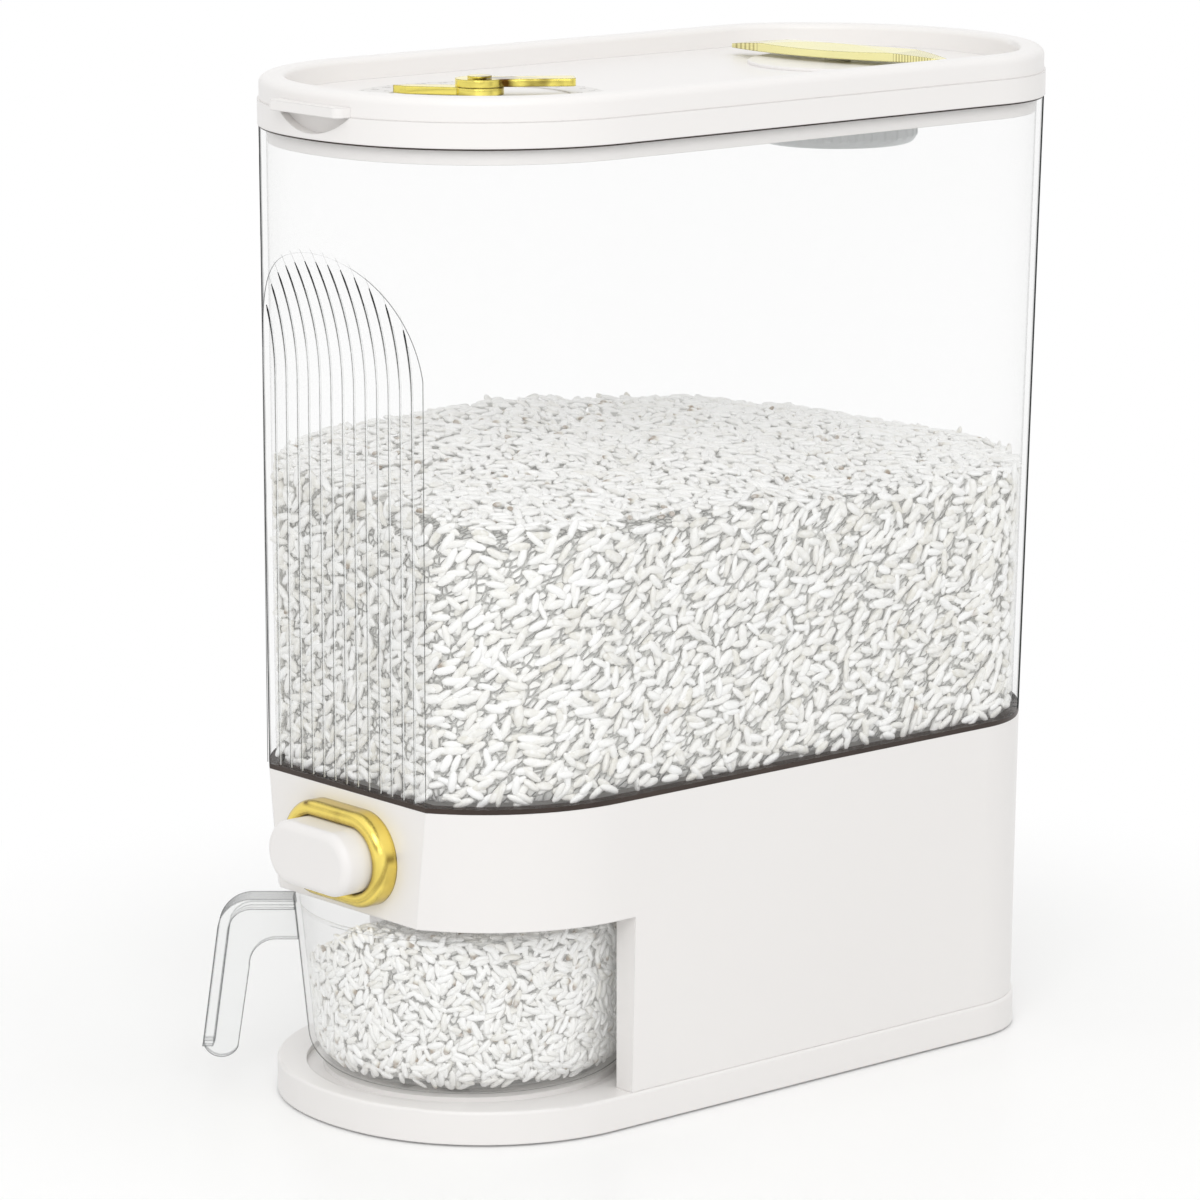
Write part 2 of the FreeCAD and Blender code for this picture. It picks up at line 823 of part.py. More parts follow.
# openings: the button, the outlet pipe and the screw holes
openings = new_body("housing_openings")
pad(openings, button_opening(openings), wall + 2 * margin, flip=True)
sketch = new_sketch(openings, "XY_Plane", bay_ceiling - margin)
draw_rectangle(sketch, -(pipe_half_width + size("seat_gap")), -(pipe_front + size("seat_gap")),
               pipe_half_width + size("seat_gap"), -(pipe_rear - size("seat_gap")))
pad(openings, sketch, wall + 2 * margin)
for post_x, post_y in screw_places:
    for side in (-1, 1):
        sketch = new_sketch(openings, "XY_Plane", base_top - margin)
        draw_circle(sketch, side * post_x, post_y, size("screw_radius") + size("screw_gap"))
        pad(openings, sketch, size("post_height"))
keep(cut("housing", shell, openings))


# ---- base: a shallow tray turned upside down, with the cup's seat on its deck ----

foot_places = [
    (half_width - size("front_foot_inset"), size("front_foot_set_back") - front_reach),
    (half_width - size("rear_foot_inset"), rear_reach - size("rear_foot_set_back"))]
foot = cup_rim - size("cup_foot_inset")
seat_radius = foot + size("seat_over")
foot_drop = size("foot_drop")
base = keep(prism("base", base_plan, foot_drop, base_top))
fillet(base, size("base_edge_round"), level_edge(base_top))
doc.recompute()
under = new_sketch(base, "XY_Plane", foot_drop)
base_plan.inset(size("base_wall")).draw(under)
pocket(base, under, base_top - foot_drop - size("base_deck"), flip=True)
moat = new_sketch(base, "XY_Plane", base_top)
draw_circle(moat, ZERO, cup_y, seat_radius + size("moat_width"))
draw_circle(moat, ZERO, cup_y, seat_radius)
pocket(base, moat, size("moat_depth"))
for places, radius in ((foot_places, size("foot_boss_radius")),
                       (screw_places, size("screw_boss_radius"))):
    for place_x, place_y in places:
        for side in (-1, 1):
            sketch = new_sketch(base, "XY_Plane", foot_drop)
            draw_circle(sketch, side * place_x, place_y, radius)
            pad(base, sketch, base_top - foot_drop - margin)
for place_x, place_y in foot_places:
    for side in (-1, 1):
        sketch = new_sketch(base, "XY_Plane", foot_drop)
        draw_circle(sketch, side * place_x, place_y, size("foot_radius"))
        pocket(base, sketch, size("foot_recess"), flip=True)
head_seat = base_top - size("base_deck")
for place_x, place_y in screw_places:
    for side in (-1, 1):
        sketch = new_sketch(base, "XY_Plane", foot_drop)
        draw_circle(sketch, side * place_x, place_y,
                    size("screw_head_radius") + size("seat_gap"))
        pocket(base, sketch, head_seat - foot_drop, flip=True)
        sketch = new_sketch(base, "XY_Plane", foot_drop)
        draw_circle(sketch, side * place_x, place_y, size("screw_radius") + size("seat_gap"))
        pocket(base, sketch, base_top, flip=True)

feet = keep(new_body("rubber_feet"))
for place_x, place_y in foot_places:
    for side in (-1, 1):
        sketch = new_sketch(feet, "XY_Plane")
        draw_circle(sketch, side * place_x, place_y, size("foot_radius") - size("foot_gap"))
        pad(feet, sketch, foot_drop + size("foot_recess"))

screws = keep(new_body("base_screws"))
for place_x, place_y in screw_places:
    for side in (-1, 1):
        sketch = new_sketch(screws, "XY_Plane", head_seat - size("screw_head_height"))
        draw_circle(sketch, side * place_x, place_y, size("screw_head_radius"))
        pad(screws, sketch, size("screw_head_height"))
        sketch = new_sketch(screws, "XY_Plane", head_seat)
        draw_circle(sketch, side * place_x, place_y, size("screw_radius"))
        pad(screws, sketch, size("base_deck") + size("post_height") - size("screw_end_gap"))


# ---- measuring cup: a turned bowl, and a T-section handle that hangs beside it ----

cup_floor = base_top
cup_top = bay_ceiling - size("cup_top_gap")
cup_wall = size("cup_wall")
heel = size("cup_heel_radius")


def cup_outside(wall_in):
    """Heel and wall of the bowl, drawn in by a wall thickness."""
    share = (heel - wall_in) / heel
    heel_x = foot + size("cup_heel_run") * share
    heel_z = cup_floor + heel - (heel - size("cup_heel_rise")) * share
    return heel_x, heel_z, cup_rim - wall_in


def turn(body, sketch):
    """Revolve a profile of the XZ plane about the upright axis of its sketch."""
    made = feature(body, "Revolution", sketch, ReferenceAxis=(sketch, ["V_Axis"]), Angle=360)
    return made


def move(item, x, y, angle=None):
    """Place a sub-part by the sheet: an upright turn, then a shift on the floor plane."""
    item.Placement = Placement(
        Vector(x.number, y.number, 0),
        Rotation(Vector(0, 0, 1), angle.number if angle else 0))
    item.setExpression("Placement.Base.x", x.text)
    item.setExpression("Placement.Base.y", y.text)
    if angle:
        item.setExpression("Placement.Rotation.Angle", angle.text)


bowl = keep(new_body("cup_bowl"))
sketch = new_sketch(bowl, "XZ_Plane")
outer_x, outer_z, rim_x = cup_outside(ZERO)
inner_x, inner_z, inner_rim = cup_outside(cup_wall)
hollow_z = cup_floor + size("cup_foot_hollow")
ring_x = foot - size("cup_foot_ring")
draw_chain(sketch, [
    (ZERO, hollow_z),
    (ring_x - size("cup_foot_hollow"), hollow_z),
    (ring_x, cup_floor),
    (foot, cup_floor),
    (outer_x, outer_z, heel, 1),
    (rim_x, cup_top),
    (inner_rim, cup_top),
    (inner_x, inner_z),
    (foot, cup_floor + cup_wall, heel - cup_wall, -1),
    (ZERO, cup_floor + cup_wall),
])
turn(bowl, sketch)
fillet(bowl, size("cup_rim_round"), level_edge(cup_top))
move(bowl, ZERO, cup_y)

handle = new_body("handle_blank")
handle_top = cup_top - size("handle_top_gap")
root_x = cup_rim - size("handle_root_depth")
root_low = handle_top - size("handle_root_height")
flange = size("handle_flange_depth")
bend = size("handle_bend")
bend_x = cup_rim + size("handle_bend_reach")
knee_x = cup_rim + size("handle_knee_reach")
knee_z = cup_top - size("handle_knee_drop")
tip_x = cup_rim + size("handle_tip_reach")
tip_z = base_top + size("handle_tip_rise")
web = new_sketch(handle, "XZ_Plane")
draw_chain(web, [
    (root_x, handle_top),
    (bend_x, handle_top),
    (knee_x, knee_z, bend, -1),
    (tip_x, tip_z),
    (tip_x - size("handle_tip_width"), tip_z - size("handle_tip_drop"),
     size("handle_tip_round"), -1),
    (cup_rim + size("handle_inner_reach"), cup_top - size("handle_inner_drop")),
    (cup_rim + size("handle_root_reach"), root_low, size("handle_finger_round"), 1),
    (root_x, root_low),
])
pad_middle(handle, web, size("handle_web"))
rim = new_sketch(handle, "XZ_Plane")
draw_chain(rim, [
    (root_x, handle_top),
    (bend_x, handle_top),
    (knee_x, knee_z, bend, -1),
    (tip_x, tip_z),
    (tip_x - flange, tip_z),
    (knee_x - flange, knee_z),
    (bend_x, handle_top - flange, bend - flange, 1),
    (root_x, handle_top - flange),
])
pad_middle(handle, rim, size("handle_flange"))
core = new_body("handle_core")
sketch = new_sketch(core, "XZ_Plane")
draw_chain(sketch, [
    (ZERO, cup_floor),
    (foot, cup_floor),
    (outer_x, outer_z, heel, 1),
    (rim_x, cup_top),
    (ZERO, cup_top),
])
turn(core, sketch)
cup_handle = keep(cut("cup_handle", handle, core))
move(cup_handle, ZERO, cup_y, size("handle_angle"))


# ---- funnel: a plate on the housing's ledge with a long shallow bowl down to the mouth ----

seat_gap = size("seat_gap")
funnel_inset = wall + seat_gap
gate_top = bay_ceiling + size("gate_rise")
gate_bottom = gate_top - size("gate_height")
neck_bottom = gate_top + size("slide_gap")
neck_top = neck_bottom + size("neck_height")
funnel_wall = size("funnel_wall")
bowl_nose = half_width + size("bowl_nose_over")
bowl_shoulder = half_width - size("bowl_shoulder_under")
bowl_plan = Plan(half_width - size("bowl_inset"), front_face - size("bowl_set_back"),
                 rear_reach - size("bowl_rear_inset"), bowl_nose, bowl_shoulder,
                 bowl_nose, bowl_shoulder)
mouth_nose = size("mouth_nose")
mouth_plan = Plan(mouth_half_width, mouth_front, -mouth_rear, mouth_nose, size("mouth_corner"),
                  mouth_nose, size("mouth_corner"))
neck_plan = mouth_plan.inset(-funnel_wall)

funnel = keep(new_body("funnel"))
sketch = new_sketch(funnel, "XY_Plane", ledge_top)
seam_plan.inset(funnel_inset).draw(sketch)
pad(funnel, sketch, size("funnel_plate"))
trim_front(funnel, ledge_top, housing_top, front_face - funnel_inset)
lower = new_sketch(funnel, "XY_Plane", neck_top)
neck_plan.draw(lower)
upper = new_sketch(funnel, "XY_Plane", ledge_top)
bowl_plan.inset(-funnel_wall).draw(upper)
loft(funnel, lower, upper)
sketch = new_sketch(funnel, "XY_Plane", neck_bottom)
neck_plan.draw(sketch)
pad(funnel, sketch, size("neck_height"))
lower = new_sketch(funnel, "XY_Plane", neck_top)
mouth_plan.draw(lower)
upper = new_sketch(funnel, "XY_Plane", housing_top)
bowl_plan.draw(upper)
loft(funnel, lower, upper, kind="SubtractiveLoft")
sketch = new_sketch(funnel, "XY_Plane", neck_bottom)
mouth_plan.draw(sketch)
pocket(funnel, sketch, size("neck_height"), flip=True)


# ---- outlet: a hollow block on the bay's ceiling with the gate's rails and the rice pipe ----

outlet_low = bay_ceiling + wall
outlet_top = gate_bottom - size("slide_gap")
outlet_half = size("outlet_half_width")
outlet_front = mouth_front + size("outlet_front_over")
outlet_rear = mouth_rear - size("outlet_rear_over")
rail_x = size("gate_half_width") + size("slide_gap")
lip_x = rail_x - size("rail_lip") - size("slide_gap")
lip_low = gate_top + size("slide_gap")
lip_top = lip_low + size("rail_height")

outlet = keep(new_body("outlet"))
sketch = new_sketch(outlet, "XY_Plane", outlet_low)
draw_rectangle(sketch, -outlet_half, -outlet_front, outlet_half, -outlet_rear)
pad(outlet, sketch, outlet_top - outlet_low)
sketch = new_sketch(outlet, "XY_Plane", outlet_low)
draw_rectangle(sketch, -(outlet_half - outlet_wall), -(outlet_front - outlet_wall),
               outlet_half - outlet_wall, -(outlet_rear + outlet_wall))
pocket(outlet, sketch, outlet_top - outlet_low - size("outlet_plate"), flip=True)
sketch = new_sketch(outlet, "XY_Plane", bay_ceiling)
draw_rectangle(sketch, -pipe_half_width, -pipe_front, pipe_half_width, -pipe_rear)
pad(outlet, sketch, outlet_top - bay_ceiling)
for side in (-1, 1):
    for inner_edge, low in ((rail_x, outlet_top), (lip_x, lip_low)):
        sketch = new_sketch(outlet, "XY_Plane", low)
        edges = sorted((side * inner_edge, side * outlet_half), key=lambda edge: edge.number)
        draw_rectangle(sketch, edges[0], -outlet_front, edges[1], -outlet_rear)
        pad(outlet, sketch, lip_top - low)
sketch = new_sketch(outlet, "XY_Plane", bay_ceiling)
draw_rectangle(sketch, -mouth_half_width, -mouth_front, mouth_half_width, -mouth_rear)
pocket(outlet, sketch, outlet_top - bay_ceiling, flip=True)


# ---- button, its gold bezel, and the gate slider that it pushes ----

bezel = keep(new_body("button_bezel"))
bezel_width = size("bezel_width")
sketch = new_sketch(bezel, "XZ_Plane", front_face)
draw_slot(sketch, bezel_inner_half_width + bezel_width, bezel_inner_half_height + bezel_width,
          ZERO, button_z)
draw_slot(sketch, bezel_inner_half_width, bezel_inner_half_height, ZERO, button_z)
pad(bezel, sketch, size("bezel_depth"))


def front_edge(depth, half_height, outside):
    """A chooser for the edges of an oblong's front face, the outer or the inner loop."""
    def chooses(edge):
        box = edge.BoundBox
        level = abs(box.YMin + depth.number) < 1e-3 and abs(box.YMax + depth.number) < 1e-3
        rise = max(abs(box.ZMax - button_z.number), abs(box.ZMin - button_z.number))
        return level and (rise > half_height.number + 0.1) == outside
    return chooses


bezel_face = front_face + size("bezel_depth")
fillet(bezel, size("bezel_round"), front_edge(bezel_face, bezel_inner_half_height, True))
fillet(bezel, size("bezel_inner_round"), front_edge(bezel_face, bezel_inner_half_height, False))

inside_face = front_face - wall
button_face = front_face + size("button_proud")
button_wall = size("button_wall")
screw_x = size("button_screw_x")
cap = keep(new_body("button_cap"))
sketch = new_sketch(cap, "XZ_Plane", inside_face)
draw_slot(sketch, button_half_width, button_half_height, ZERO, button_z)
pad(cap, sketch, button_face - inside_face)
fillet(cap, size("button_round"), front_edge(button_face, ZERO, True))
sketch = new_sketch(cap, "XZ_Plane", inside_face)
draw_slot(sketch, button_half_width - button_wall, button_half_height - button_wall,
          ZERO, button_z)
pocket(cap, sketch, button_face - inside_face - button_wall, flip=True)
for side in (-1, 1):
    sketch = new_sketch(cap, "XZ_Plane", inside_face)
    draw_circle(sketch, side * screw_x, button_z, size("button_boss_radius"))
    pad(cap, sketch, button_face - inside_face - size("button_boss_gap"))
    sketch = new_sketch(cap, "XZ_Plane", inside_face)
    draw_circle(sketch, side * screw_x, button_z, size("button_screw_radius") + size("screw_gap"))
    pocket(cap, sketch, size("button_screw_hole"), flip=True)

travel = size("press_travel")
carrier_back = inside_face - size("carrier_plate")
slider = keep(new_body("gate_slider"))
sketch = new_sketch(slider, "XZ_Plane", carrier_back)
draw_slot(sketch, size("carrier_half_width"), size("carrier_half_height"), ZERO,
          button_z - size("carrier_drop"))
pad(slider, sketch, size("carrier_plate"))
sketch = new_sketch(slider, "XY_Plane", gate_bottom)
draw_rectangle(sketch, -size("gate_half_width"), -carrier_back, size("gate_half_width"),
               size("gate_past_mouth") - mouth_rear)
pad(slider, sketch, size("gate_height"))
sketch = new_sketch(slider, "XY_Plane", gate_bottom)
draw_rectangle(sketch, -mouth_half_width, -(mouth_front + travel), mouth_half_width,
               -(mouth_rear + travel))
pocket(slider, sketch, size("gate_height"), flip=True)
for side in (-1, 1):
    sketch = new_sketch(slider, "XZ_Plane", carrier_back)
    draw_circle(sketch, side * screw_x, button_z, size("button_screw_radius") + size("screw_gap"))
    pocket(slider, sketch, size("carrier_plate"), flip=True)

cap_screws = keep(new_body("button_screws"))
for side in (-1, 1):
    sketch = new_sketch(cap_screws, "XZ_Plane", carrier_back)
    draw_circle(sketch, side * screw_x, button_z, size("button_screw_radius"))
    pad(cap_screws, sketch, size("carrier_plate") + size("button_screw_length"))
    sketch = new_sketch(cap_screws, "XZ_Plane", carrier_back - size("button_screw_head_height"))
    draw_circle(sketch, side * screw_x, button_z, size("button_screw_head_radius"))
    pad(cap_screws, sketch, size("button_screw_head_height"))

for side, name in ((-1, "return_spring_left"), (1, "return_spring_right")):
    spring = keep(new_body(name))
    sketch = new_sketch(spring, "XY_Plane")
    wire = size("spring_wire")
    draw_circle(sketch, size("spring_radius"), wire, wire)
    coil = feature(spring, "AdditiveHelix", sketch, ReferenceAxis=(sketch, ["V_Axis"]))
    coil.Mode = "height-turns-growth"
    run = carrier_back - outlet_front - 2 * wire
    coil.Height = run.number
    coil.setExpression("Height", run.text)
    coil.Turns = SIZES["spring_turns"]
    coil.setExpression("Turns", "Sizes.spring_turns")
    spring_x = side * size("spring_x")
    spring_z = bay_ceiling + size("spring_rise")
    spring.Placement = Placement(
        Vector(spring_x.number, -carrier_back.number, spring_z.number), Rotation())
    spring.setExpression("Placement.Base.x", spring_x.text)
    spring.setExpression("Placement.Base.y", (-carrier_back).text)
    spring.setExpression("Placement.Base.z", spring_z.text)


# ---- seals under and over the hopper ----

seal_outer = prism("seal_outside", seam_plan, housing_top, hopper_bottom, front_face)
seal_inset = size("seal_width")
seal_inner = prism("seal_inside", seam_plan.inset(seal_inset), housing_top - margin,
                   hopper_bottom + margin, front_face - seal_inset)
keep(cut("hopper_seal", seal_outer, seal_inner))

lid_seal = keep(new_body("lid_seal"))
sketch = new_sketch(lid_seal, "XY_Plane", hopper_top)
hopper_top_plan.draw(sketch)
hopper_top_plan.inset(hopper_wall).draw(sketch)
pad(lid_seal, sketch, size("lid_seal_height"))


# ---- lid collar: a ring on the hopper's top edge that carries the hinged cover ----

collar_width = size("collar_width")
hinge_y = rear_reach + size("hinge_offset")
hinge_z = lid_step
hinge_radius = size("hinge_radius")
knuckle = size("hinge_knuckle_half_width")
hinge_half = size("hinge_half_width")
pin_hole = size("hinge_pin_radius") + size("hinge_pin_gap")


def hinge_knuckle(body, low_x, high_x, web_low, web_high):
    """A barrel round the hinge line and the web that joins it to the ring."""
    sketch = new_sketch(body, "YZ_Plane", low_x)
    draw_circle(sketch, hinge_y, hinge_z, hinge_radius)
    pad(body, sketch, high_x - low_x)
    sketch = new_sketch(body, "YZ_Plane", low_x)
    draw_rectangle(sketch, rear_reach - size("hinge_web_root"), web_low, hinge_y, web_high)
    pad(body, sketch, high_x - low_x)


def hinge_bore(body):
    sketch = new_sketch(body, "YZ_Plane", -hinge_half - margin)
    draw_circle(sketch, hinge_y, hinge_z, pin_hole)
    pocket(body, sketch, 2 * (hinge_half + margin), flip=True)


collar = keep(prism("lid_collar", lid_plan, collar_bottom, lid_step))
sketch = new_sketch(collar, "XY_Plane", collar_bottom)
lid_plan.inset(collar_width).draw(sketch)
pocket(collar, sketch, lid_step - collar_bottom, flip=True)
sketch = new_sketch(collar, "XY_Plane", collar_bottom)
lid_plan.inset(size("collar_skirt")).draw(sketch)
lid_plan.inset(collar_width - size("collar_plate")).draw(sketch)
pocket(collar, sketch, lid_step - collar_bottom - size("collar_plate"), flip=True)
sketch = new_sketch(collar, "XY_Plane", collar_bottom - size("collar_spigot"))
spigot_plan = hopper_top_plan.inset(hopper_wall + seat_gap)
spigot_plan.draw(sketch)
spigot_plan.inset(size("collar_spigot_wall")).draw(sketch)
pad(collar, sketch, size("collar_spigot"))
sketch = new_sketch(collar, "XZ_Plane", front_reach + margin)
draw_circle(sketch, ZERO, lid_step + size("scoop_radius") - size("scoop_depth"),
            size("scoop_radius"))
pocket(collar, sketch, margin + size("scoop_cut"))
for low_x, high_x in ((-hinge_half, -knuckle), (knuckle, hinge_half)):
    hinge_knuckle(collar, low_x, high_x, hinge_z - hinge_radius, hinge_z)
hinge_bore(collar)

hinge_pin = keep(new_body("hinge_pin"))
sketch = new_sketch(hinge_pin, "YZ_Plane", -hinge_half)
draw_circle(sketch, hinge_y, hinge_z, size("hinge_pin_radius"))
pad(hinge_pin, sketch, 2 * hinge_half)


# ---- lid cover: a tray with a plug below, a front tab and a hole for the canister ----

tray_floor = lid_step + size("tray_floor_rise")
cover_plan = lid_plan.inset(size("cover_inset"))
tray_plan = cover_plan.inset(size("tray_rim"))
plug_plan = lid_plan.inset(collar_width + size("plug_gap"))
plug_low = lid_step - size("plug_depth")
canister_y = rear_reach - size("canister_set_back")
canister_radius = size("canister_radius")
dial_y = size("dial_set_back") - front_reach
pin_radius = size("dial_pin_radius")

cover = keep(prism("lid_cover", cover_plan, lid_step, lid_top))
fillet(cover, size("cover_round"), level_edge(lid_top))
sketch = new_sketch(cover, "XY_Plane", lid_top)
tray_plan.draw(sketch)
pocket(cover, sketch, lid_top - tray_floor)
fillet(cover, size("tray_round"), lambda edge: level_edge(lid_top)(edge)
       and edge.BoundBox.XMax <= tray_plan.half_width.number + 1e-3
       and edge.BoundBox.XMin >= -tray_plan.half_width.number - 1e-3
       and edge.BoundBox.YMax <= tray_plan.rear.number + 1e-3
       and edge.BoundBox.YMin >= -tray_plan.front.number - 1e-3)
sketch = new_sketch(cover, "XY_Plane", plug_low)
plug_plan.draw(sketch)
pad(cover, sketch, size("plug_depth"))
sketch = new_sketch(cover, "XY_Plane", plug_low)
plug_plan.inset(size("plug_wall")).draw(sketch)
pocket(cover, sketch, tray_floor - size("floor_plate") - plug_low, flip=True)
sketch = new_sketch(cover, "XY_Plane", lid_step)
tab_half = size("tab_half_width")
tab_front = front_reach + size("tab_reach")
tab_back = front_reach - size("tab_root")
corner = size("tab_corner")
draw_chain(sketch, [
    (tab_half, -tab_back),
    (-tab_half, -tab_back),
    (-tab_half, -(tab_front - corner)),
    (-(tab_half - corner), -tab_front, corner, 1),
    (tab_half - corner, -tab_front),
    (tab_half, -(tab_front - corner), corner, 1),
])
pad(cover, sketch, size("tab_height"))
hinge_knuckle(cover, -(knuckle - seat_gap), knuckle - seat_gap, hinge_z, hinge_z + hinge_radius)
hinge_bore(cover)
for hole_y, radius in ((canister_y, canister_radius + size("canister_gap")),
                       (dial_y, pin_radius + size("screw_gap"))):
    sketch = new_sketch(cover, "XY_Plane", tray_floor)
    draw_circle(sketch, ZERO, hole_y, radius)
    pocket(cover, sketch, size("floor_plate"))

cover_seal = keep(new_body("cover_seal"))
sketch = new_sketch(cover_seal, "XY_Plane", plug_low - size("cover_seal_height"))
lid_plan.inset(collar_width + seat_gap).draw(sketch)
plug_plan.inset(size("plug_wall")).draw(sketch)
pad(cover_seal, sketch, size("cover_seal_height"))


# ---- date dial: a raised ring and two hands on one pin ----

dial = keep(new_body("dial_ring"))
sketch = new_sketch(dial, "XY_Plane", tray_floor)
draw_circle(sketch, ZERO, dial_y, size("dial_radius"))
draw_circle(sketch, ZERO, dial_y, size("dial_radius") - size("dial_band"))
pad(dial, sketch, size("dial_height"))

hand_gap = size("hand_gap")
hand_height = size("hand_height")
day_hand_low = tray_floor + size("dial_height") + hand_gap
month_hand_low = day_hand_low + hand_height + hand_gap
dial_pin_top = month_hand_low + hand_height + hand_gap
hub = size("hand_hub_radius")
hand_half = size("hand_half_width")

dial_pin = keep(new_body("dial_pin"))
sketch = new_sketch(dial_pin, "XY_Plane", tray_floor - size("floor_plate"))
draw_circle(sketch, ZERO, dial_y, pin_radius)
pad(dial_pin, sketch, dial_pin_top + size("dial_pin_head_height") - tray_floor
    + size("floor_plate"))
sketch = new_sketch(dial_pin, "XY_Plane", dial_pin_top)
draw_circle(sketch, ZERO, dial_y, size("dial_pin_head"))
pad(dial_pin, sketch, size("dial_pin_head_height"))


def hand(name, low, length, angle, tapered):
    """A clock-like hand: round hub, bar with a blunt or a pointed end, bore for the pin."""
    body = keep(new_body(name))
    sketch = new_sketch(body, "XY_Plane", low)
    draw_circle(sketch, ZERO, ZERO, hub)
    pad(body, sketch, hand_height)
    sketch = new_sketch(body, "XY_Plane", low)
    if tapered:
        neck_x = length - size("hand_point")
        neck_half = size("hand_point_half_width")
        draw_polygon(sketch, [(ZERO, -hand_half), (neck_x, -neck_half), (length, ZERO),
                              (neck_x, neck_half), (ZERO, hand_half)])
    else:
        corner = size("hand_corner")
        draw_chain(sketch, [
            (ZERO, -hand_half),
            (length - corner, -hand_half),
            (length, -(hand_half - corner), corner, 1),
            (length, hand_half - corner),
            (length - corner, hand_half, corner, 1),
            (ZERO, hand_half),
        ])
    pad(body, sketch, hand_height)
    sketch = new_sketch(body, "XY_Plane", low)
    draw_circle(sketch, ZERO, ZERO, pin_radius + size("dial_pin_gap"))
    pocket(body, sketch, hand_height, flip=True)
    move(body, ZERO, dial_y, angle)


hand("day_hand", day_hand_low, size("day_hand_length"), size("day_hand_angle"), True)
hand("month_hand", month_hand_low, size("month_hand_length"), size("month_hand_angle"), False)


# ---- moisture canister: a slotted cup through the cover's floor, turned by its gold grip ----

canister_wall = size("canister_wall")
canister_bottom = tray_floor - size("canister_depth")
canister = keep(new_body("canister"))
sketch = new_sketch(canister, "XY_Plane", canister_bottom)
draw_circle(sketch, ZERO, ZERO, canister_radius)
pad(canister, sketch, tray_floor - canister_bottom)
sketch = new_sketch(canister, "XY_Plane", canister_bottom + canister_wall)
draw_circle(sketch, ZERO, ZERO, canister_radius - canister_wall)
pocket(canister, sketch, tray_floor - canister_bottom - canister_wall, flip=True)
sketch = new_sketch(canister, "XZ_Plane")
slot_half = size("canister_slot_width") / 2
slot_low = canister_bottom + size("canister_slot_rise")
draw_rectangle(sketch, -slot_half, slot_low, slot_half, slot_low + size("canister_slot_height"))
slots = pocket(canister, sketch, canister_radius + margin)
pattern = canister.newObject("PartDesign::PolarPattern", "Slots")
pattern.Originals = [slots]
pattern.Axis = (next(item for item in canister.Origin.OriginFeatures if item.Role == "Z_Axis"),
                [""])
pattern.Angle = 360
pattern.Occurrences = int(SIZES["canister_slots"])
pattern.setExpression("Occurrences", "Sizes.canister_slots")
canister.Tip = pattern
move(canister, ZERO, canister_y)

flange_top = tray_floor + size("canister_flange_height")
lid_disc = keep(new_body("canister_cap"))
sketch = new_sketch(lid_disc, "XY_Plane", tray_floor)
draw_circle(sketch, ZERO, ZERO, size("canister_flange"))
pad(lid_disc, sketch, size("canister_flange_height"))
fillet(lid_disc, size("canister_cap_round"), level_edge(flange_top))
sketch = new_sketch(lid_disc, "XY_Plane", tray_floor - size("canister_cap_spigot"))
canister_bore = canister_radius - canister_wall
draw_circle(sketch, ZERO, ZERO, canister_bore - size("canister_cap_gap"))
draw_circle(sketch, ZERO, ZERO, canister_bore - canister_wall)
pad(lid_disc, sketch, size("canister_cap_spigot"))
move(lid_disc, ZERO, canister_y)

puck = keep(new_body("moisture_puck"))
puck_low = canister_bottom + canister_wall
sketch = new_sketch(puck, "XY_Plane", puck_low)
draw_circle(sketch, ZERO, ZERO, canister_bore - size("puck_gap"))
pad(puck, sketch, size("puck_height"))
fillet(puck, size("puck_round"), level_edge(puck_low + size("puck_height")))
move(puck, ZERO, canister_y)

grip_bottom = tray_floor + size("grip_rise")
grip_top = grip_bottom + size("grip_height")
post = keep(new_body("grip_post"))
sketch = new_sketch(post, "XY_Plane", flange_top)
draw_circle(sketch, ZERO, ZERO, size("grip_post_radius"))
pad(post, sketch, grip_bottom - flange_top)
move(post, ZERO, canister_y)

# the grip is a long leaf in plan, with a roof ridge along it that is crowned from tip to tip
grip_half = size("grip_half_width")
grip_length = size("grip_half_length")
leaf = new_body("grip_leaf")
sketch = new_sketch(leaf, "XY_Plane", grip_bottom)
end_half = size("grip_end_half_width")
end_bulge = size("grip_end_bulge")
end_x = grip_length - end_bulge
bulge = grip_half - end_half
leaf_radius = (end_x * end_x + bulge * bulge) / (2 * bulge)
end_radius = (end_half * end_half + end_bulge * end_bulge) / (2 * end_bulge)
draw_chain(sketch, [
    (end_x, -end_half, leaf_radius, 1),
    (end_x, end_half, end_radius, 1),
    (-end_x, end_half, leaf_radius, 1),
    (-end_x, -end_half, end_radius, 1),
])
pad(leaf, sketch, size("grip_height") + size("grip_ridge"))
roof = new_body("grip_roof")
sketch = new_sketch(roof, "YZ_Plane", -grip_length)
draw_polygon(sketch, [
    (-grip_half, grip_bottom), (grip_half, grip_bottom), (grip_half, grip_top),
    (ZERO, grip_top + size("grip_ridge")), (-grip_half, grip_top)])
pad(roof, sketch, 2 * grip_length)
crown = new_body("grip_crown")
tip_top = grip_bottom + size("grip_tip_height")
crown_rise = grip_top + size("grip_ridge") - tip_top
crown_radius = (grip_length * grip_length + crown_rise * crown_rise) / (2 * crown_rise)
sketch = new_sketch(crown, "XZ_Plane")
draw_chain(sketch, [
    (grip_length, grip_bottom),
    (grip_length, tip_top),
    (-grip_length, tip_top, crown_radius, 1),
    (-grip_length, grip_bottom),
])
pad_middle(crown, sketch, 2 * grip_half)
roofed = combine("Common", "grip_roofed", leaf, roof)
grip = keep(combine("Common", "canister_grip", roofed, crown))
move(grip, ZERO, canister_y, size("grip_angle"))


# ---- check every object, then write one file for each piece ----

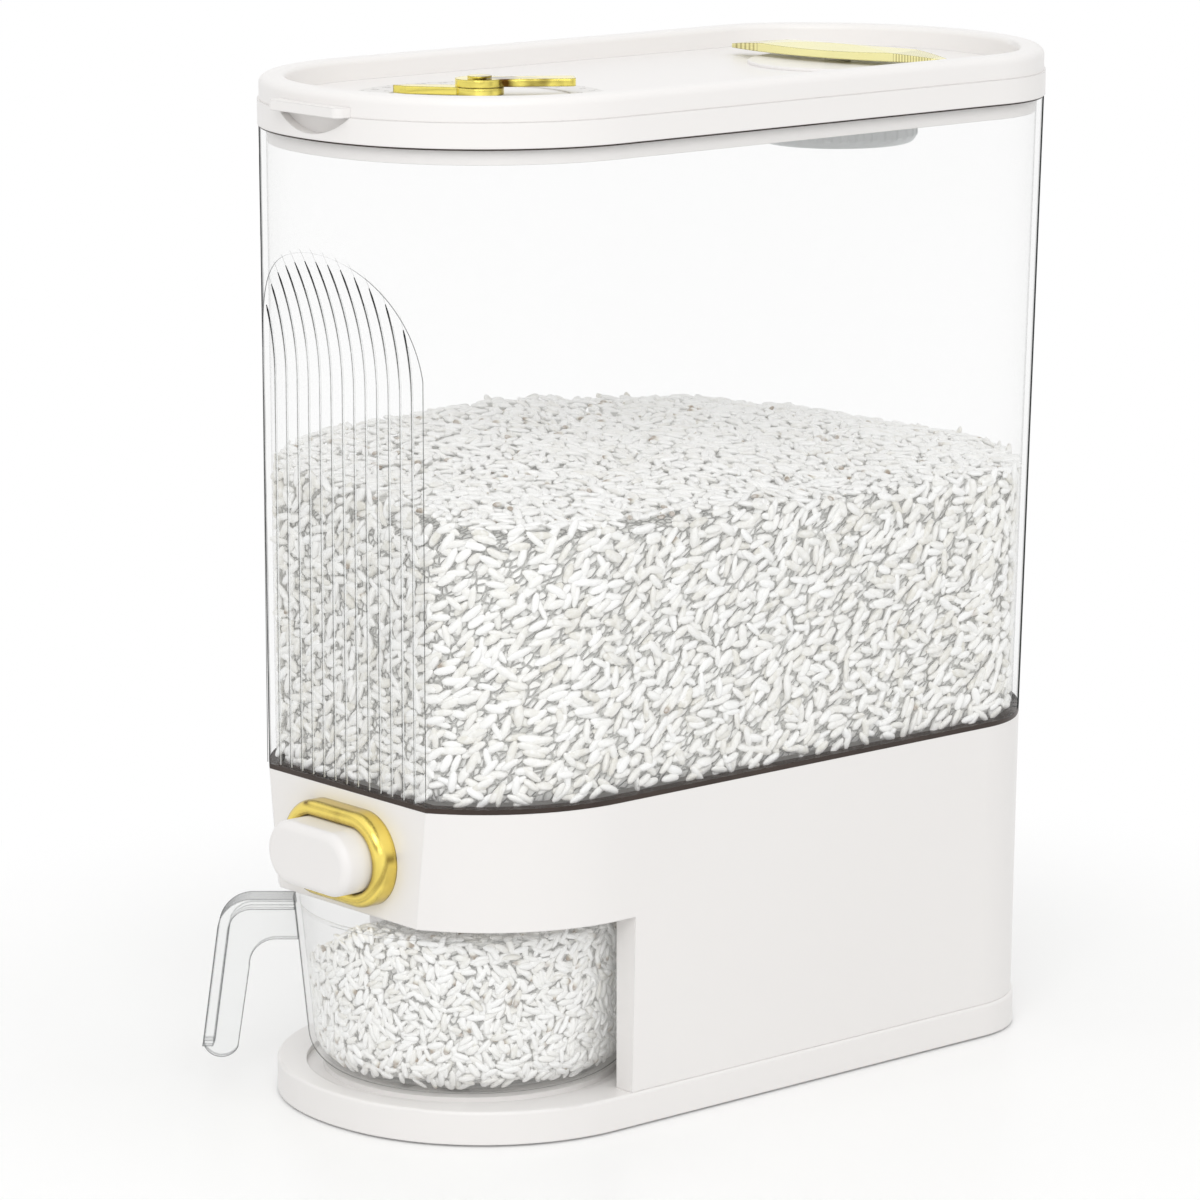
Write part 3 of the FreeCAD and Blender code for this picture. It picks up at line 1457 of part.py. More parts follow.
doc.recompute()
for item in doc.Objects:
    if {"Invalid", "Error"} & set(item.State):
        raise RuntimeError(f"{item.Name} ({item.Label}) failed: {item.State}")
os.makedirs("parts", exist_ok=True)
for item in nodes:
    shape = item.Shape
    if shape.isNull() or not shape.isValid():
        raise RuntimeError(f"{item.Label} has no valid shape")
    shape.exportStep(os.path.join("parts", f"{item.Label}.step"))
    box = shape.BoundBox
    print(f"{item.Label:20s} {len(shape.Solids)} solids {shape.Volume / 1000:8.2f} cm3  "
          f"x {box.XMin:7.1f} {box.XMax:7.1f}  y {box.YMin:7.1f} {box.YMax:7.1f}  "
          f"z {box.ZMin:6.1f} {box.ZMax:6.1f}")
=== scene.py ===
import json
import math

import bpy
import numpy as np
from mathutils import Matrix, Vector


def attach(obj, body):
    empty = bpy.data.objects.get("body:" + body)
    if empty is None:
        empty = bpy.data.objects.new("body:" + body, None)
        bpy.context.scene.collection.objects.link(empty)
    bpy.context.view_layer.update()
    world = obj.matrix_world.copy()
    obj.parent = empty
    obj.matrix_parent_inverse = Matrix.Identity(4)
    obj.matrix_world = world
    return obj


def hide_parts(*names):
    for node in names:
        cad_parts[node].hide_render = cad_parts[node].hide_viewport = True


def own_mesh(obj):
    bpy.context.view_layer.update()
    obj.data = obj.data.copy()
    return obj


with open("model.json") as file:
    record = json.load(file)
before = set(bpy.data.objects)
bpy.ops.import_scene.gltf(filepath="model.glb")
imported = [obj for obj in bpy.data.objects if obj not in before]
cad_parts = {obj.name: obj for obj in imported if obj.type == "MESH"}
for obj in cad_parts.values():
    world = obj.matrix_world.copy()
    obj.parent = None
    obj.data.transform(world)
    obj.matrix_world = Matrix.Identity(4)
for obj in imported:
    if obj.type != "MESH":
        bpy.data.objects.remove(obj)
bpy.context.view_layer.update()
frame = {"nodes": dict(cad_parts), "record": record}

random = np.random.default_rng(41)
mm = 0.001
nodeSlot = {part["node"]: part["material_slot"] for part in frame["record"]["subparts"]}


# shader building: a wrapped socket takes part in plain expressions

class Socket:
    def __init__(self, owner, socket):
        self.owner = owner
        self.socket = socket

    def math(self, operation, *values):
        return self.owner.node("ShaderNodeMath", {"operation": operation}, [self, *values])

    def __add__(self, other):
        return self.math("ADD", other)

    def __sub__(self, other):
        return self.math("SUBTRACT", other)

    def __rsub__(self, other):
        return self.owner.node("ShaderNodeMath", {"operation": "SUBTRACT"}, [other, self])

    def __mul__(self, other):
        return self.math("MULTIPLY", other)

    def __pow__(self, other):
        return self.math("POWER", other)

    __radd__ = __add__
    __rmul__ = __mul__

    def clamp(self, low=0.0, high=1.0):
        return self.owner.node("ShaderNodeClamp", {}, [self, low, high])


class Nodes:
    # the nodes of one material or world, and the shader that its surface shows
    def __init__(self, holder, output):
        holder.use_nodes = True
        self.tree = holder.node_tree
        self.tree.nodes.clear()
        self.output = self.tree.nodes.new(output)

    def node(self, kind, settings=None, values=(), out=0):
        made = self.tree.nodes.new(kind)
        for key, value in (settings or {}).items():
            setattr(made, key, value)
        pairs = values.items() if isinstance(values, dict) else enumerate(values)
        for key, value in pairs:
            if value is None:
                continue
            if isinstance(value, Socket):
                self.tree.links.new(value.socket, made.inputs[key])
            elif isinstance(value, tuple) and len(made.inputs[key].default_value) == 4:
                made.inputs[key].default_value = (*value[:3], 1.0)
            else:
                made.inputs[key].default_value = value
        return Socket(self, made.outputs[out])

    def show(self, shader):
        self.tree.links.new(shader.socket, self.output.inputs[0])

    def plainRays(self):
        # 1 for the camera's, mirrors' and clear walls' view, which get a plain white backdrop
        rays = [self.node("ShaderNodeLightPath", out=f"Is {kind} Ray")
                for kind in ("Camera", "Glossy", "Transmission")]
        return (rays[0] + rays[1] + rays[2]).clamp()


class Paint(Nodes):
    def __init__(self, name, **fixed):
        self.material = bpy.data.materials.new(name)
        super().__init__(self.material, "ShaderNodeOutputMaterial")
        self.shader = self.tree.nodes.new("ShaderNodeBsdfPrincipled")
        self.show(Socket(self, self.shader.outputs[0]))
        for key, value in fixed.items():
            socket = self.shader.inputs[key.replace("_", " ")]
            socket.default_value = (*value, 1.0) if isinstance(value, tuple) else value

    def place(self):
        return self.node("ShaderNodeTexCoord", {}, out=3)

    def noise(self, scale, detail=3.0, rough=0.5, place=None):
        return self.node("ShaderNodeTexNoise", {},
                         {"Vector": place or self.place(), "Scale": scale, "Detail": detail,
                          "Roughness": rough})

    def mix(self, factor, first, second):
        return self.node("ShaderNodeMix", {"data_type": "RGBA"}, {0: factor, 6: first, 7: second}, 2)

    def feed(self, **sockets):
        for key, value in sockets.items():
            self.tree.links.new(value.socket, self.shader.inputs[key.replace("_", " ")])

    def bump(self, height, distance, strength=1.0, normal=None):
        return self.node("ShaderNodeBump", {}, {"Height": height, "Distance": distance,
                                                "Strength": strength, "Normal": normal})

    def cover(self, share, colour):
        # lays a plain dark line of painted shade over the finish, with no gloss to wash it out
        line = self.node("ShaderNodeBsdfDiffuse", {}, {"Color": colour})
        finish = Socket(self, self.shader.outputs[0])
        self.show(self.node("ShaderNodeMixShader", {}, [share, finish, line]))

    def roundEdges(self, radius):
        return self.node("ShaderNodeBevel", {"samples": 4}, {"Radius": radius})

    def corners(self, rounded, gain):
        # the true normal against one rounded over the edges finds a moulding's corners
        flat = self.node("ShaderNodeNewGeometry", out=1)
        same = self.node("ShaderNodeVectorMath", {"operation": "DOT_PRODUCT"}, [rounded, flat], 1)
        return ((1.0 - same) * gain).clamp()


def makeObject(name, vertices, faces, paint, body, slot, smooth=True):
    mesh = bpy.data.meshes.new(name)
    mesh.from_pydata([tuple(point) for point in vertices], [], [tuple(face) for face in faces])
    mesh.polygons.foreach_set("use_smooth", [smooth] * len(mesh.polygons))
    mesh.update()
    mesh.materials.append(paint.material)
    thing = bpy.data.objects.new(name, mesh)
    bpy.context.scene.collection.objects.link(thing)
    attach(thing, body)
    return thing


# white shell: satin moulded plastic with a faint orange peel and soft edges

shellLook = {"colour": (0.872, 0.853, 0.838), "shade": (0.845, 0.824, 0.808),
             "roughness": 0.33, "peel": 0.00003, "edge": 0.0006}


def makeShell(name, look):
    paint = Paint(name, Specular_IOR_Level=0.45, IOR=1.5)
    cloud = paint.noise(9.0, 2.0)
    fine = paint.noise(900.0, 2.0, 0.6)
    smudge = paint.noise(45.0, 4.0, 0.6)
    paint.feed(Base_Color=paint.mix(cloud, look["shade"], look["colour"]),
               Roughness=look["roughness"] + (smudge - 0.5) * 0.10 + (fine - 0.5) * 0.05,
               Normal=paint.bump(fine, look["peel"], 0.5, paint.roundEdges(look["edge"])))
    return paint


whiteShell = makeShell("white_shell", shellLook)
whiteInner = makeShell("white_inner", {**shellLook, "roughness": 0.5, "peel": 0.00006})
dialGrey = makeShell("dial_grey", {**shellLook, "colour": (0.79, 0.775, 0.76),
                                   "shade": (0.76, 0.745, 0.73), "roughness": 0.45})

# clear plastic: thin walls that let light through, with a painted dark outline where they are seen edge on
# and a white tint there that is a painted reflection

clearLook = {"tint": (0.90, 0.91, 0.905), "edge": (0.02, 0.022, 0.022), "haze": 0.03,
             "mirror": 0.3, "outline": 0.95, "inner": 0.12, "darkFrom": 0.84, "darkBy": 0.93,
             "roughness": 0.05}


def makeClear(name, look):
    paint = Paint(name, IOR=1.49)
    facing = paint.node("ShaderNodeLayerWeight", {}, {"Blend": 0.5}, out=1)
    dark = paint.node("ShaderNodeMapRange", {}, {"Value": facing, "From Min": look["darkFrom"],
                                                 "From Max": look["darkBy"]})
    # only the outer skin draws the painted dark outline: its normal points away from the middle
    back = paint.node("ShaderNodeNewGeometry", out=6)
    normal = paint.node("ShaderNodeNewGeometry", out=1)
    away = paint.node("ShaderNodeVectorMath", {"operation": "SUBTRACT"},
                      [paint.place(), look["middle"]])
    away = paint.node("ShaderNodeVectorMath", {"operation": "DOT_PRODUCT"}, [away, normal], 1)
    outer = paint.node("ShaderNodeMath", {"operation": "GREATER_THAN"},
                       [away * (1.0 - back * 2.0), 0.0])
    dark = dark * (look["inner"] + outer * (1 - look["inner"])) * look["outline"]
    fine = paint.noise(240.0, 2.0)
    wave = paint.noise(24.0, 1.0)
    # more of the white tint shows where the wall is seen edge on: a painted reflection
    alpha = look["haze"] + facing ** 5.0 * look["mirror"] + (fine - 0.5) * 0.015
    # on the cup and its handle, painted shade also darkens the corners
    if "crease" in look:
        corner = paint.corners(paint.roundEdges(look["crease"]), look["gain"])
        dark = (dark + corner * look["paintedCornerShade"]).clamp()
    paint.feed(Base_Color=paint.mix(wave, look["tint"], (0.92, 0.93, 0.925)),
               Roughness=look["roughness"] + fine * 0.04, Alpha=alpha.clamp(),
               Normal=paint.bump(wave, 0.0004, 0.2))
    paint.cover(dark, look["edge"])
    return paint


clearShell = makeClear("clear_shell", {**clearLook, "middle": (0.0, 0.0, 0.24)})
cupLook = {**clearLook, "haze": 0.045, "mirror": 0.5, "middle": (0.0, -0.092, 0.045),
           "darkFrom": 0.86, "outline": 0.55, "crease": 0.0007, "gain": 6.0, "paintedCornerShade": 0.8}
clearCup = makeClear("clear_cup", cupLook)
clearHandle = makeClear("clear_handle", {**cupLook, "tint": (0.80, 0.83, 0.835), "haze": 0.19,
                                         "edge": (0.05, 0.055, 0.057), "darkFrom": 0.62,
                                         "outline": 0.75, "crease": 0.0009, "paintedCornerShade": 0.9,
                                         "middle": (-0.045, -0.145, 0.05)})

# gold plating in two tones, steel, rubber and the drying pad

# the gold's deep tone is painted shade and painted reflection laid over its bright colour
goldLook = {"bright": (1.0, 0.87, 0.21), "deep": (0.11, 0.05, 0.008), "roughness": 0.1,
            "round": 0.0012, "line": 0.0005, "edge": 0.8, "rim": 0.15, "reflectedStreak": 0.4,
            "reflectedPatch": 1.0}
paleGoldLook = {"bright": (0.98, 0.93, 0.47), "deep": (0.24, 0.18, 0.05), "roughness": 0.16,
                "round": 0.0008, "line": 0.0004, "edge": 0.8, "rim": 0.2, "reflectedStreak": 0.35,
                "reflectedPatch": 0.0}
reflectedBars = {"from": (0.35, -0.6, 0.72), "low": 0.47, "lowSharp": 12.0, "high": 0.87,
            "highSharp": 22.0}
hatchLook = {"turn": 11.0, "centre": 88.55, "from": 31.0, "to": 46.0, "pitch": 1.5,
             "slant": 1.3, "dark": 0.5}


def hatchEnds(paint, look):
    # slanted grooves near the two ends of the grip, found by the length along it and drawn as dark lines
    # of painted shade
    turn, centre = math.radians(look["turn"]), look["centre"] * mm
    turned = paint.node("ShaderNodeMapping", {}, {
        "Vector": paint.place(), "Rotation": (0.0, 0.0, -turn),
        "Location": (-centre * math.sin(turn), -centre * math.cos(turn), 0.0)})
    along = paint.node("ShaderNodeSeparateXYZ", {}, [turned])
    across = paint.node("ShaderNodeSeparateXYZ", {}, [turned], 1)
    away = along.math("ABSOLUTE")
    ends = (((away - look["from"] * mm) * (1 / mm)).clamp()
            * ((look["to"] * mm - away) * (1 / mm)).clamp())
    groove = ((along + across * look["slant"]) * (2 * math.pi / look["pitch"] / mm)).math("SINE")
    return ends * (groove * 2.0).clamp() * look["dark"]


def makeGold(name, look, brushed):
    paint = Paint(name, Metallic=1.0)
    facing = paint.node("ShaderNodeLayerWeight", {}, {"Blend": 0.35}, out=1)
    stretch = paint.node("ShaderNodeMapping", {}, {"Vector": paint.place(),
                                                   "Scale": (brushed, 1.0, 1.0)})
    grain = paint.noise(220.0, 3.0, 0.6, place=stretch)
    cloud = paint.noise(60.0, 2.0)
    rounded = paint.roundEdges(look["round"])
    corner = paint.corners(paint.roundEdges(look["line"]), 5.0)
    # painted reflection: dark bars of the room drawn into the plating's colour where its curve turns past
    # two directions
    turned = paint.node("ShaderNodeVectorMath", {"operation": "DOT_PRODUCT"},
                        [rounded, reflectedBars["from"]], 1)
    low, high = ((1.0 - (turned - reflectedBars[bar]).math("ABSOLUTE") * reflectedBars[bar + "Sharp"]).clamp()
                 for bar in ("low", "high"))
    reflectedStreak = (low + high) * (cloud * 2.0 - 0.2).clamp()
    reflectedPatch = (cloud * 9.0 - 5.1).clamp() * look["reflectedPatch"]
    # painted shade darkens the rim and corner lines, and the bars and patches are painted reflections
    paintedDarkness = (facing ** 1.6 * look["rim"] + corner * look["edge"] + reflectedStreak * look["reflectedStreak"]
                + reflectedPatch + (cloud - 0.5) * 0.1)
    if "hatch" in look:
        paintedDarkness = paintedDarkness + hatchEnds(paint, look["hatch"])
    paintedDarkness = paintedDarkness.clamp()
    paint.feed(Base_Color=paint.mix(paintedDarkness, look["bright"], look["deep"]),
               Roughness=look["roughness"] + (grain - 0.5) * 0.08,
               Normal=paint.bump(grain, 0.00002, 0.6, rounded))
    return paint


goldTrim = makeGold("gold_trim", goldLook, 1.0)
paleGold = makeGold("pale_gold", {**paleGoldLook, "hatch": hatchLook}, 0.05)
goldRing = makeGold("gold_ring", {**goldLook, "bright": (0.98, 0.78, 0.19), "round": 0.0024,
                                  "line": 0.0009, "edge": 1.0, "rim": 0.8, "reflectedStreak": 1.1,
                                  "reflectedPatch": 0.15}, 1.0)

steelLook = {"colour": (0.62, 0.62, 0.63), "dull": (0.46, 0.46, 0.47)}
steel = Paint("steel", Metallic=1.0)
steelGrain = steel.noise(500.0, 4.0, 0.7)
steel.feed(Base_Color=steel.mix(steelGrain, steelLook["colour"], steelLook["dull"]),
           Roughness=0.24 + steelGrain * 0.16, Normal=steel.bump(steelGrain, 0.00002, 0.5))


def makeRubber(name, colour, worn, roughness):
    paint = Paint(name, Specular_IOR_Level=0.35)
    dust = paint.noise(70.0, 5.0, 0.7)
    pore = paint.noise(1400.0, 2.0)
    paint.feed(Base_Color=paint.mix((dust * 1.4 - 0.4).clamp(), colour, worn),
               Roughness=roughness + (dust - 0.5) * 0.15, Normal=paint.bump(pore, 0.00005, 0.6))
    return paint


brownSeal = makeRubber("brown_seal", (0.030, 0.019, 0.014), (0.060, 0.040, 0.031), 0.4)
greyRubber = makeRubber("grey_rubber", (0.42, 0.42, 0.415), (0.5, 0.5, 0.49), 0.7)

puckLook = {"shade": (0.74, 0.78, 0.82), "pale": (0.86, 0.88, 0.9)}
puckPaper = Paint("puck_paper", Roughness=0.9)
puckFibre = puckPaper.noise(700.0, 6.0, 0.75)
puckPaper.feed(Base_Color=puckPaper.mix(puckFibre, puckLook["shade"], puckLook["pale"]),
               Normal=puckPaper.bump(puckFibre, 0.0002, 0.7))

paints = {"white_shell": whiteShell, "white_inner": whiteInner, "dial_grey": dialGrey,
          "clear_shell": clearShell, "clear_cup": clearCup, "gold_trim": goldTrim,
          "pale_gold": paleGold, "steel": steel, "brown_seal": brownSeal,
          "grey_rubber": greyRubber, "puck_paper": puckPaper}
smokeGrey = makeShell("canister_grey", {**shellLook, "colour": (0.60, 0.615, 0.62),
                                        "shade": (0.56, 0.575, 0.58), "roughness": 0.3})
nodePaints = {"cup_handle": clearHandle, "canister": smokeGrey, "button_bezel": goldRing}
for nodeName, thing in frame["nodes"].items():
    thing.data.materials.clear()
    thing.data.materials.append(nodePaints.get(nodeName, paints[nodeSlot[nodeName]]).material)
print("stage: materials on", len(frame["nodes"]), "frame nodes")


# rice: one grain shape, turned, stretched and bent a little for every copy

riceLook = {"pale": (0.915, 0.917, 0.91), "warm": (0.71, 0.69, 0.62), "chalk": (0.94, 0.94, 0.935),
            "germ": (0.24, 0.155, 0.09), "brown": 0.2}
# the faint emission is a painted glow that lifts the shade on the grains
rice = Paint("rice", Specular_IOR_Level=0.5, Emission_Color=(1.0, 0.99, 0.96),
             Emission_Strength=0.065)
riceTone = rice.node("ShaderNodeAttribute", {"attribute_name": "tone"}, out=2)
riceCloud = rice.noise(420.0, 2.0)
rice.feed(Base_Color=rice.mix((riceCloud * 2.2 - 0.9).clamp(),
                              rice.mix((riceTone - 1).clamp(),
                                       rice.mix(riceTone.clamp(), riceLook["pale"],
                                                riceLook["warm"]), riceLook["germ"]),
                              riceLook["chalk"]),
          Roughness=0.34 + riceCloud * 0.2,
          Normal=rice.bump(rice.noise(1500.0, 2.0), 0.00003, 0.5))

grainLook = {"length": 8.0, "width": 3.25, "thickness": 2.1, "sides": 7,
             "rings": (-0.9, -0.6, 0.0, 0.6, 0.9), "blunt": 2.7, "belly": 0.58,
             "spread": 0.12, "tilt": 0.05, "leanSpread": 0.7, "bend": 7.0, "spin": 0.5}


def grainShape(look):
    points, sides = [(-1.0, 0.0, 0.0)], look["sides"]
    for along in look["rings"]:
        swell = (1.0 - abs(along) ** look["blunt"]) ** look["belly"]
        for side in range(sides):
            turn = 2 * math.pi * (side + 0.5) / sides
            points.append((along, swell * math.cos(turn), swell * math.sin(turn)))
    points.append((1.0, 0.0, 0.0))
    faces = []
    for side in range(sides):
        ahead = (side + 1) % sides
        faces.append((0, 1 + side, 1 + ahead))
        for ring in range(len(look["rings"]) - 1):
            low = 1 + ring * sides
            faces.append((low + side, low + sides + side, low + sides + ahead))
            faces.append((low + side, low + sides + ahead, low + ahead))
        last = 1 + (len(look["rings"]) - 1) * sides
        faces.append((last + side, len(points) - 1, last + ahead))
    half = np.array([look["length"], look["width"], look["thickness"]]) / 2 * mm
    return np.array(points) * half, np.array(faces)


def dropGrains(width, height, gap, tries, lean=None):
    # grains dropped on a sheet one by one: each is three discs that keep clear of the others'
    cells, kept = {}, []
    reach = (grainLook["length"] * min(1.0, gap / 2.2) - gap) / 2
    drops = random.uniform(0, 1, size=(tries, 2))
    angles = random.uniform(0, math.pi, size=tries)
    if lean is not None:
        angles = random.normal(lean, grainLook["leanSpread"], size=tries)
    for (u, v), angle in zip(drops, angles):
        s, t = u * width, v * height
        discs = [(s + step * reach * math.cos(angle), t + step * reach * math.sin(angle))
                 for step in (-1, 0, 1)]
        clear = True
        for x, y in discs:
            column, row = int(x // gap), int(y // gap)
            for near in ((column + i, row + j) for i in (-1, 0, 1) for j in (-1, 0, 1)):
                for ox, oy in cells.get(near, ()):
                    if (ox - x) ** 2 + (oy - y) ** 2 < gap * gap:
                        clear = False
            if not clear:
                break
        if clear:
            kept.append((s, t, angle))
            for x, y in discs:
                cells.setdefault((int(x // gap), int(y // gap)), []).append((x, y))
    return kept


def spreadGrains(name, grains, size, germs, shade, body, slot, perPiece=2700):
    # a grain is its place, the normal and level direction of its bed, and its angle there
    shape, faces = grainShape(grainLook)
    grains = np.array(grains, float)
    places, normals, firsts, angles = grains[:, :3] * mm, grains[:, 3:6], grains[:, 6:9], grains[:, 9:]
    count = len(places)
    normals = normals / np.linalg.norm(normals, axis=1, keepdims=True)
    seconds = np.cross(normals, firsts)
    along = firsts * np.cos(angles) + seconds * np.sin(angles)
    along += normals * random.normal(0.0, grainLook["tilt"], size=(count, 1))
    along /= np.linalg.norm(along, axis=1, keepdims=True)
    across = np.cross(normals, along)
    across /= np.linalg.norm(across, axis=1, keepdims=True)
    up = np.cross(along, across)
    spin = random.uniform(-grainLook["spin"], grainLook["spin"], size=(count, 1))
    across, up = (across * np.cos(spin) + up * np.sin(spin),
                  up * np.cos(spin) - across * np.sin(spin))
    scale = 1 + random.normal(0.0, grainLook["spread"], size=(count, 3)).clip(-0.25, 0.25)
    bend = random.normal(0.0, grainLook["bend"], size=(count, 1))
    local = shape[None] * scale[:, None] * size
    local[:, :, 1] += bend * local[:, :, 0] ** 2
    points = (places[:, None] + local[:, :, 0:1] * along[:, None]
              + local[:, :, 1:2] * across[:, None] + local[:, :, 2:3] * up[:, None])
    tones = np.repeat(random.beta(0.9, shade, size=(count, 1)), len(shape), axis=1)
    germ = random.uniform(0, 1, size=count) < germs
    tones[germ, 0] = 2.0
    tones[germ & (random.uniform(0, 1, size=count) < riceLook["brown"]), :1 + 2 * grainLook["sides"]] = 1.8
    for start in range(0, count, perPiece):
        part = points[start:start + perPiece]
        shift = np.arange(len(part))[:, None, None] * len(shape)
        piece = makeObject(f"{name}_{start // perPiece}", part.reshape(-1, 3),
                           (faces[None] + shift).reshape(-1, 3), rice, body, slot)
        tone = piece.data.attributes.new("tone", "FLOAT", "POINT")
        tone.data.foreach_set("value", tones[start:start + perPiece].reshape(-1))


class Plan:
    # the dispenser's outline at one level: half width, reaches and arc radii
    def __init__(self, *sizes):
        self.sizes = np.array(sizes, float)

    def inset(self, amount):
        return Plan(*(self.sizes - amount))

    def towards(self, other, share):
        return Plan(*(self.sizes * (1 - share) + other.sizes * share))

    def quarter(self, reach, nose, shoulder):
        # from the side's end round to the tip, as points and outward normals
        offset = self.sizes[0] - shoulder
        drop = math.sqrt((nose - shoulder) ** 2 - offset ** 2)
        centre = reach - nose + drop
        joinAngle = math.atan2(drop, offset)
        points = []
        for angle in np.arange(0.0, joinAngle, 1.0 / shoulder):
            points.append((offset + shoulder * math.cos(angle), centre + shoulder * math.sin(angle),
                           math.cos(angle), math.sin(angle)))
        for angle in np.arange(joinAngle, math.pi / 2, 1.0 / nose):
            points.append((nose * math.cos(angle), reach - nose + nose * math.sin(angle),
                           math.cos(angle), math.sin(angle)))
        points.append((0.0, reach, 0.0, 1.0))
        return points

    def outline(self, flat=None):
        half, front, rear, nose, shoulder, rearNose, rearShoulder = self.sizes
        back = self.quarter(rear, rearNose, rearShoulder)
        fore = self.quarter(front, nose, shoulder)
        ring = back + [(-x, y, -nx, ny) for x, y, nx, ny in reversed(back[:-1])]
        low, high = -fore[0][1], back[0][1]
        ring += [(-half, y, -1.0, 0.0) for y in np.arange(high - 1, low, -1.0)]
        ring += [(-x, -y, -nx, -ny) for x, y, nx, ny in fore]
        ring += [(x, -y, nx, -ny) for x, y, nx, ny in reversed(fore[:-1])]
        ring += [(half, y, 1.0, 0.0) for y in np.arange(low + 1, high, 1.0)]
        ring = np.array(ring)
        if flat is not None:
            cut = ring[:, 1] < -flat
            ring[cut, 1] = -flat
            ring[cut, 2] = 0.0
            ring[cut, 3] = -1.0
        return ring


hopperSizes = {"low": (78.5, 161.5, 153.9, 103.7, 73.0, 89.0, 37.6), "lowZ": 124.2,
               "high": (79.85, 162.35, 162.35, 104.55, 74.35, 88.55, 46.75), "highZ": 356.9,
               "wall": 2.6, "flat": 149.3}


def hopperRing(z, inset):
    share = (z - hopperSizes["lowZ"]) / (hopperSizes["highZ"] - hopperSizes["lowZ"])
    plan = Plan(*hopperSizes["low"]).towards(Plan(*hopperSizes["high"]), share)
    return plan.inset(hopperSizes["wall"] + inset).outline(
        hopperSizes["flat"] - hopperSizes["wall"] - inset)


# a layer says how deep the grains' middles lie, how close they come and how many are dropped;
# the rice stands higher along the left wall than along the right
hopperRice = {"around": 548.0, "low": 125.6, "high": 244.0, "lean": 0.4, "under": 0.6,
              "walls": ((1.15, 2.35, 34000), (1.5, 2.2, 26000), (2.2, 2.2, 20000)),
              "size": 1.0, "germs": 0.05, "shade": 1.8, "sink": (-0.05, 0.35),
              "tops": ((0.0, 2.1, 22000), (-0.6, 2.1, 20000), (-1.5, 2.3, 10000)),
              # the top's grains get paler tones than the walls' grains: painted light that lifts the top
              # in the lid's shade
              "topSize": 0.9, "topGerms": 0.22, "topShade": 6.0, "roll": 0.07, "stray": 0.15,
              "width": 152.0, "length": 300.0, "rear": 148.0, "edgeZ": 230.0, "edgeInset": 2.6,
              "left": ((-150, -124, -86, -48, -4, 36, 88, 141, 155),
                       (235, 237, 239, 241, 239.5, 236, 230, 221, 218)),
              "right": ((-150, -95, -48, 0, 51, 103, 150), (224, 222, 222, 221, 219, 219, 214)),
              "coreInset": 3.4, "coreUnder": 2.4, "coreLow": 125.4, "coreHigh": 218.0}


def riceLevel(x, y):
    left, right = (np.interp(y, *hopperRice[side]) for side in ("left", "right"))
    share = np.clip((x + hopperRice["width"] / 2) / hopperRice["width"], 0, 1)
    wave = 0.7 * np.sin(x / 17 + 0.6) * np.cos(y / 23) + 0.5 * np.sin(y / 13 + x / 19)
    return left * (1 - share) + right * share + 2.0 * np.sin(np.pi * share) + wave


ringStore = {}


def ringPlace(z, depth, share):
    # a place on the hopper's wall, with its outward normal, by its share of the way round
    key = (round(z / 3), depth)
    if key not in ringStore:
        ring = hopperRing(key[0] * 3, depth)
        steps = np.hypot(*(np.roll(ring[:, :2], -1, 0) - ring[:, :2]).T)
        total = np.concatenate(([0], np.cumsum(steps)))[:-1]
        ringStore[key] = (ring, total / total[-1])
    ring, shares = ringStore[key]
    return [float(np.interp(share, shares, ring[:, column])) for column in range(4)]


def fillHopper():
    grains = []
    around, low, high = (hopperRice[key] for key in ("around", "low", "high"))
    for depth, gap, tries in hopperRice["walls"]:
        for s, t, angle in dropGrains(around, high - low, gap, tries, hopperRice["lean"]):
            z = low + t
            x, y, nx, ny = ringPlace(z, depth, s / around)
            sink = random.uniform(*hopperRice["sink"])
            if z < riceLevel(x, y) - hopperRice["under"]:
                length = math.hypot(nx, ny)
                nx, ny = nx / length, ny / length
                grains.append((x - nx * sink, y - ny * sink, z, nx, ny, 0, -ny, nx, 0, angle))
    tops = []
    roll, stray = hopperRice["roll"], hopperRice["stray"]
    for lift, gap, tries in hopperRice["tops"]:
        for s, t, angle in dropGrains(hopperRice["width"], hopperRice["length"], gap, tries):
            x, y = s - hopperRice["width"] / 2, t - hopperRice["rear"]
            if not insideHopper(x, y):
                continue
            slopeX = (riceLevel(x + 2, y) - riceLevel(x - 2, y)) / 4 + random.normal(0, roll)
            slopeY = (riceLevel(x, y + 2) - riceLevel(x, y - 2)) / 4 + random.normal(0, roll)
            normal = Vector((-slopeX, -slopeY, 1.0)).normalized()
            level = Vector((1.0, 0.0, slopeX)).normalized()
            z = riceLevel(x, y) + lift + random.normal(0.0, stray)
            tops.append((x, y, z, *normal, *level, angle))
    print("stage: hopper rice", len(grains), "on the walls,", len(tops), "on top")
    spreadGrains("hopper_rice", grains, hopperRice["size"], hopperRice["germs"],
                 hopperRice["shade"], "dispenser", "clear_shell")
    spreadGrains("hopper_rice_top", tops, hopperRice["topSize"], hopperRice["topGerms"],
                 hopperRice["topShade"], "dispenser", "clear_shell")


def insideHopper(x, y):
    inside = False
    for (ax, ay), (bx, by) in zip(topRing, np.roll(topRing, -1, 0)):
        if (ay > y) != (by > y) and x < (bx - ax) * (y - ay) / (by - ay) + ax:
            inside = not inside
    return inside


topRing = hopperRing(hopperRice["edgeZ"], hopperRice["edgeInset"])[::12, :2]


def bridge(rings, count):
    # quads between rings of as many points each, that lie one after another
    return [(low + index, low + (index + 1) % count, low + count + (index + 1) % count,
             low + count + index)
            for low in range(0, (rings - 1) * count, count) for index in range(count)]


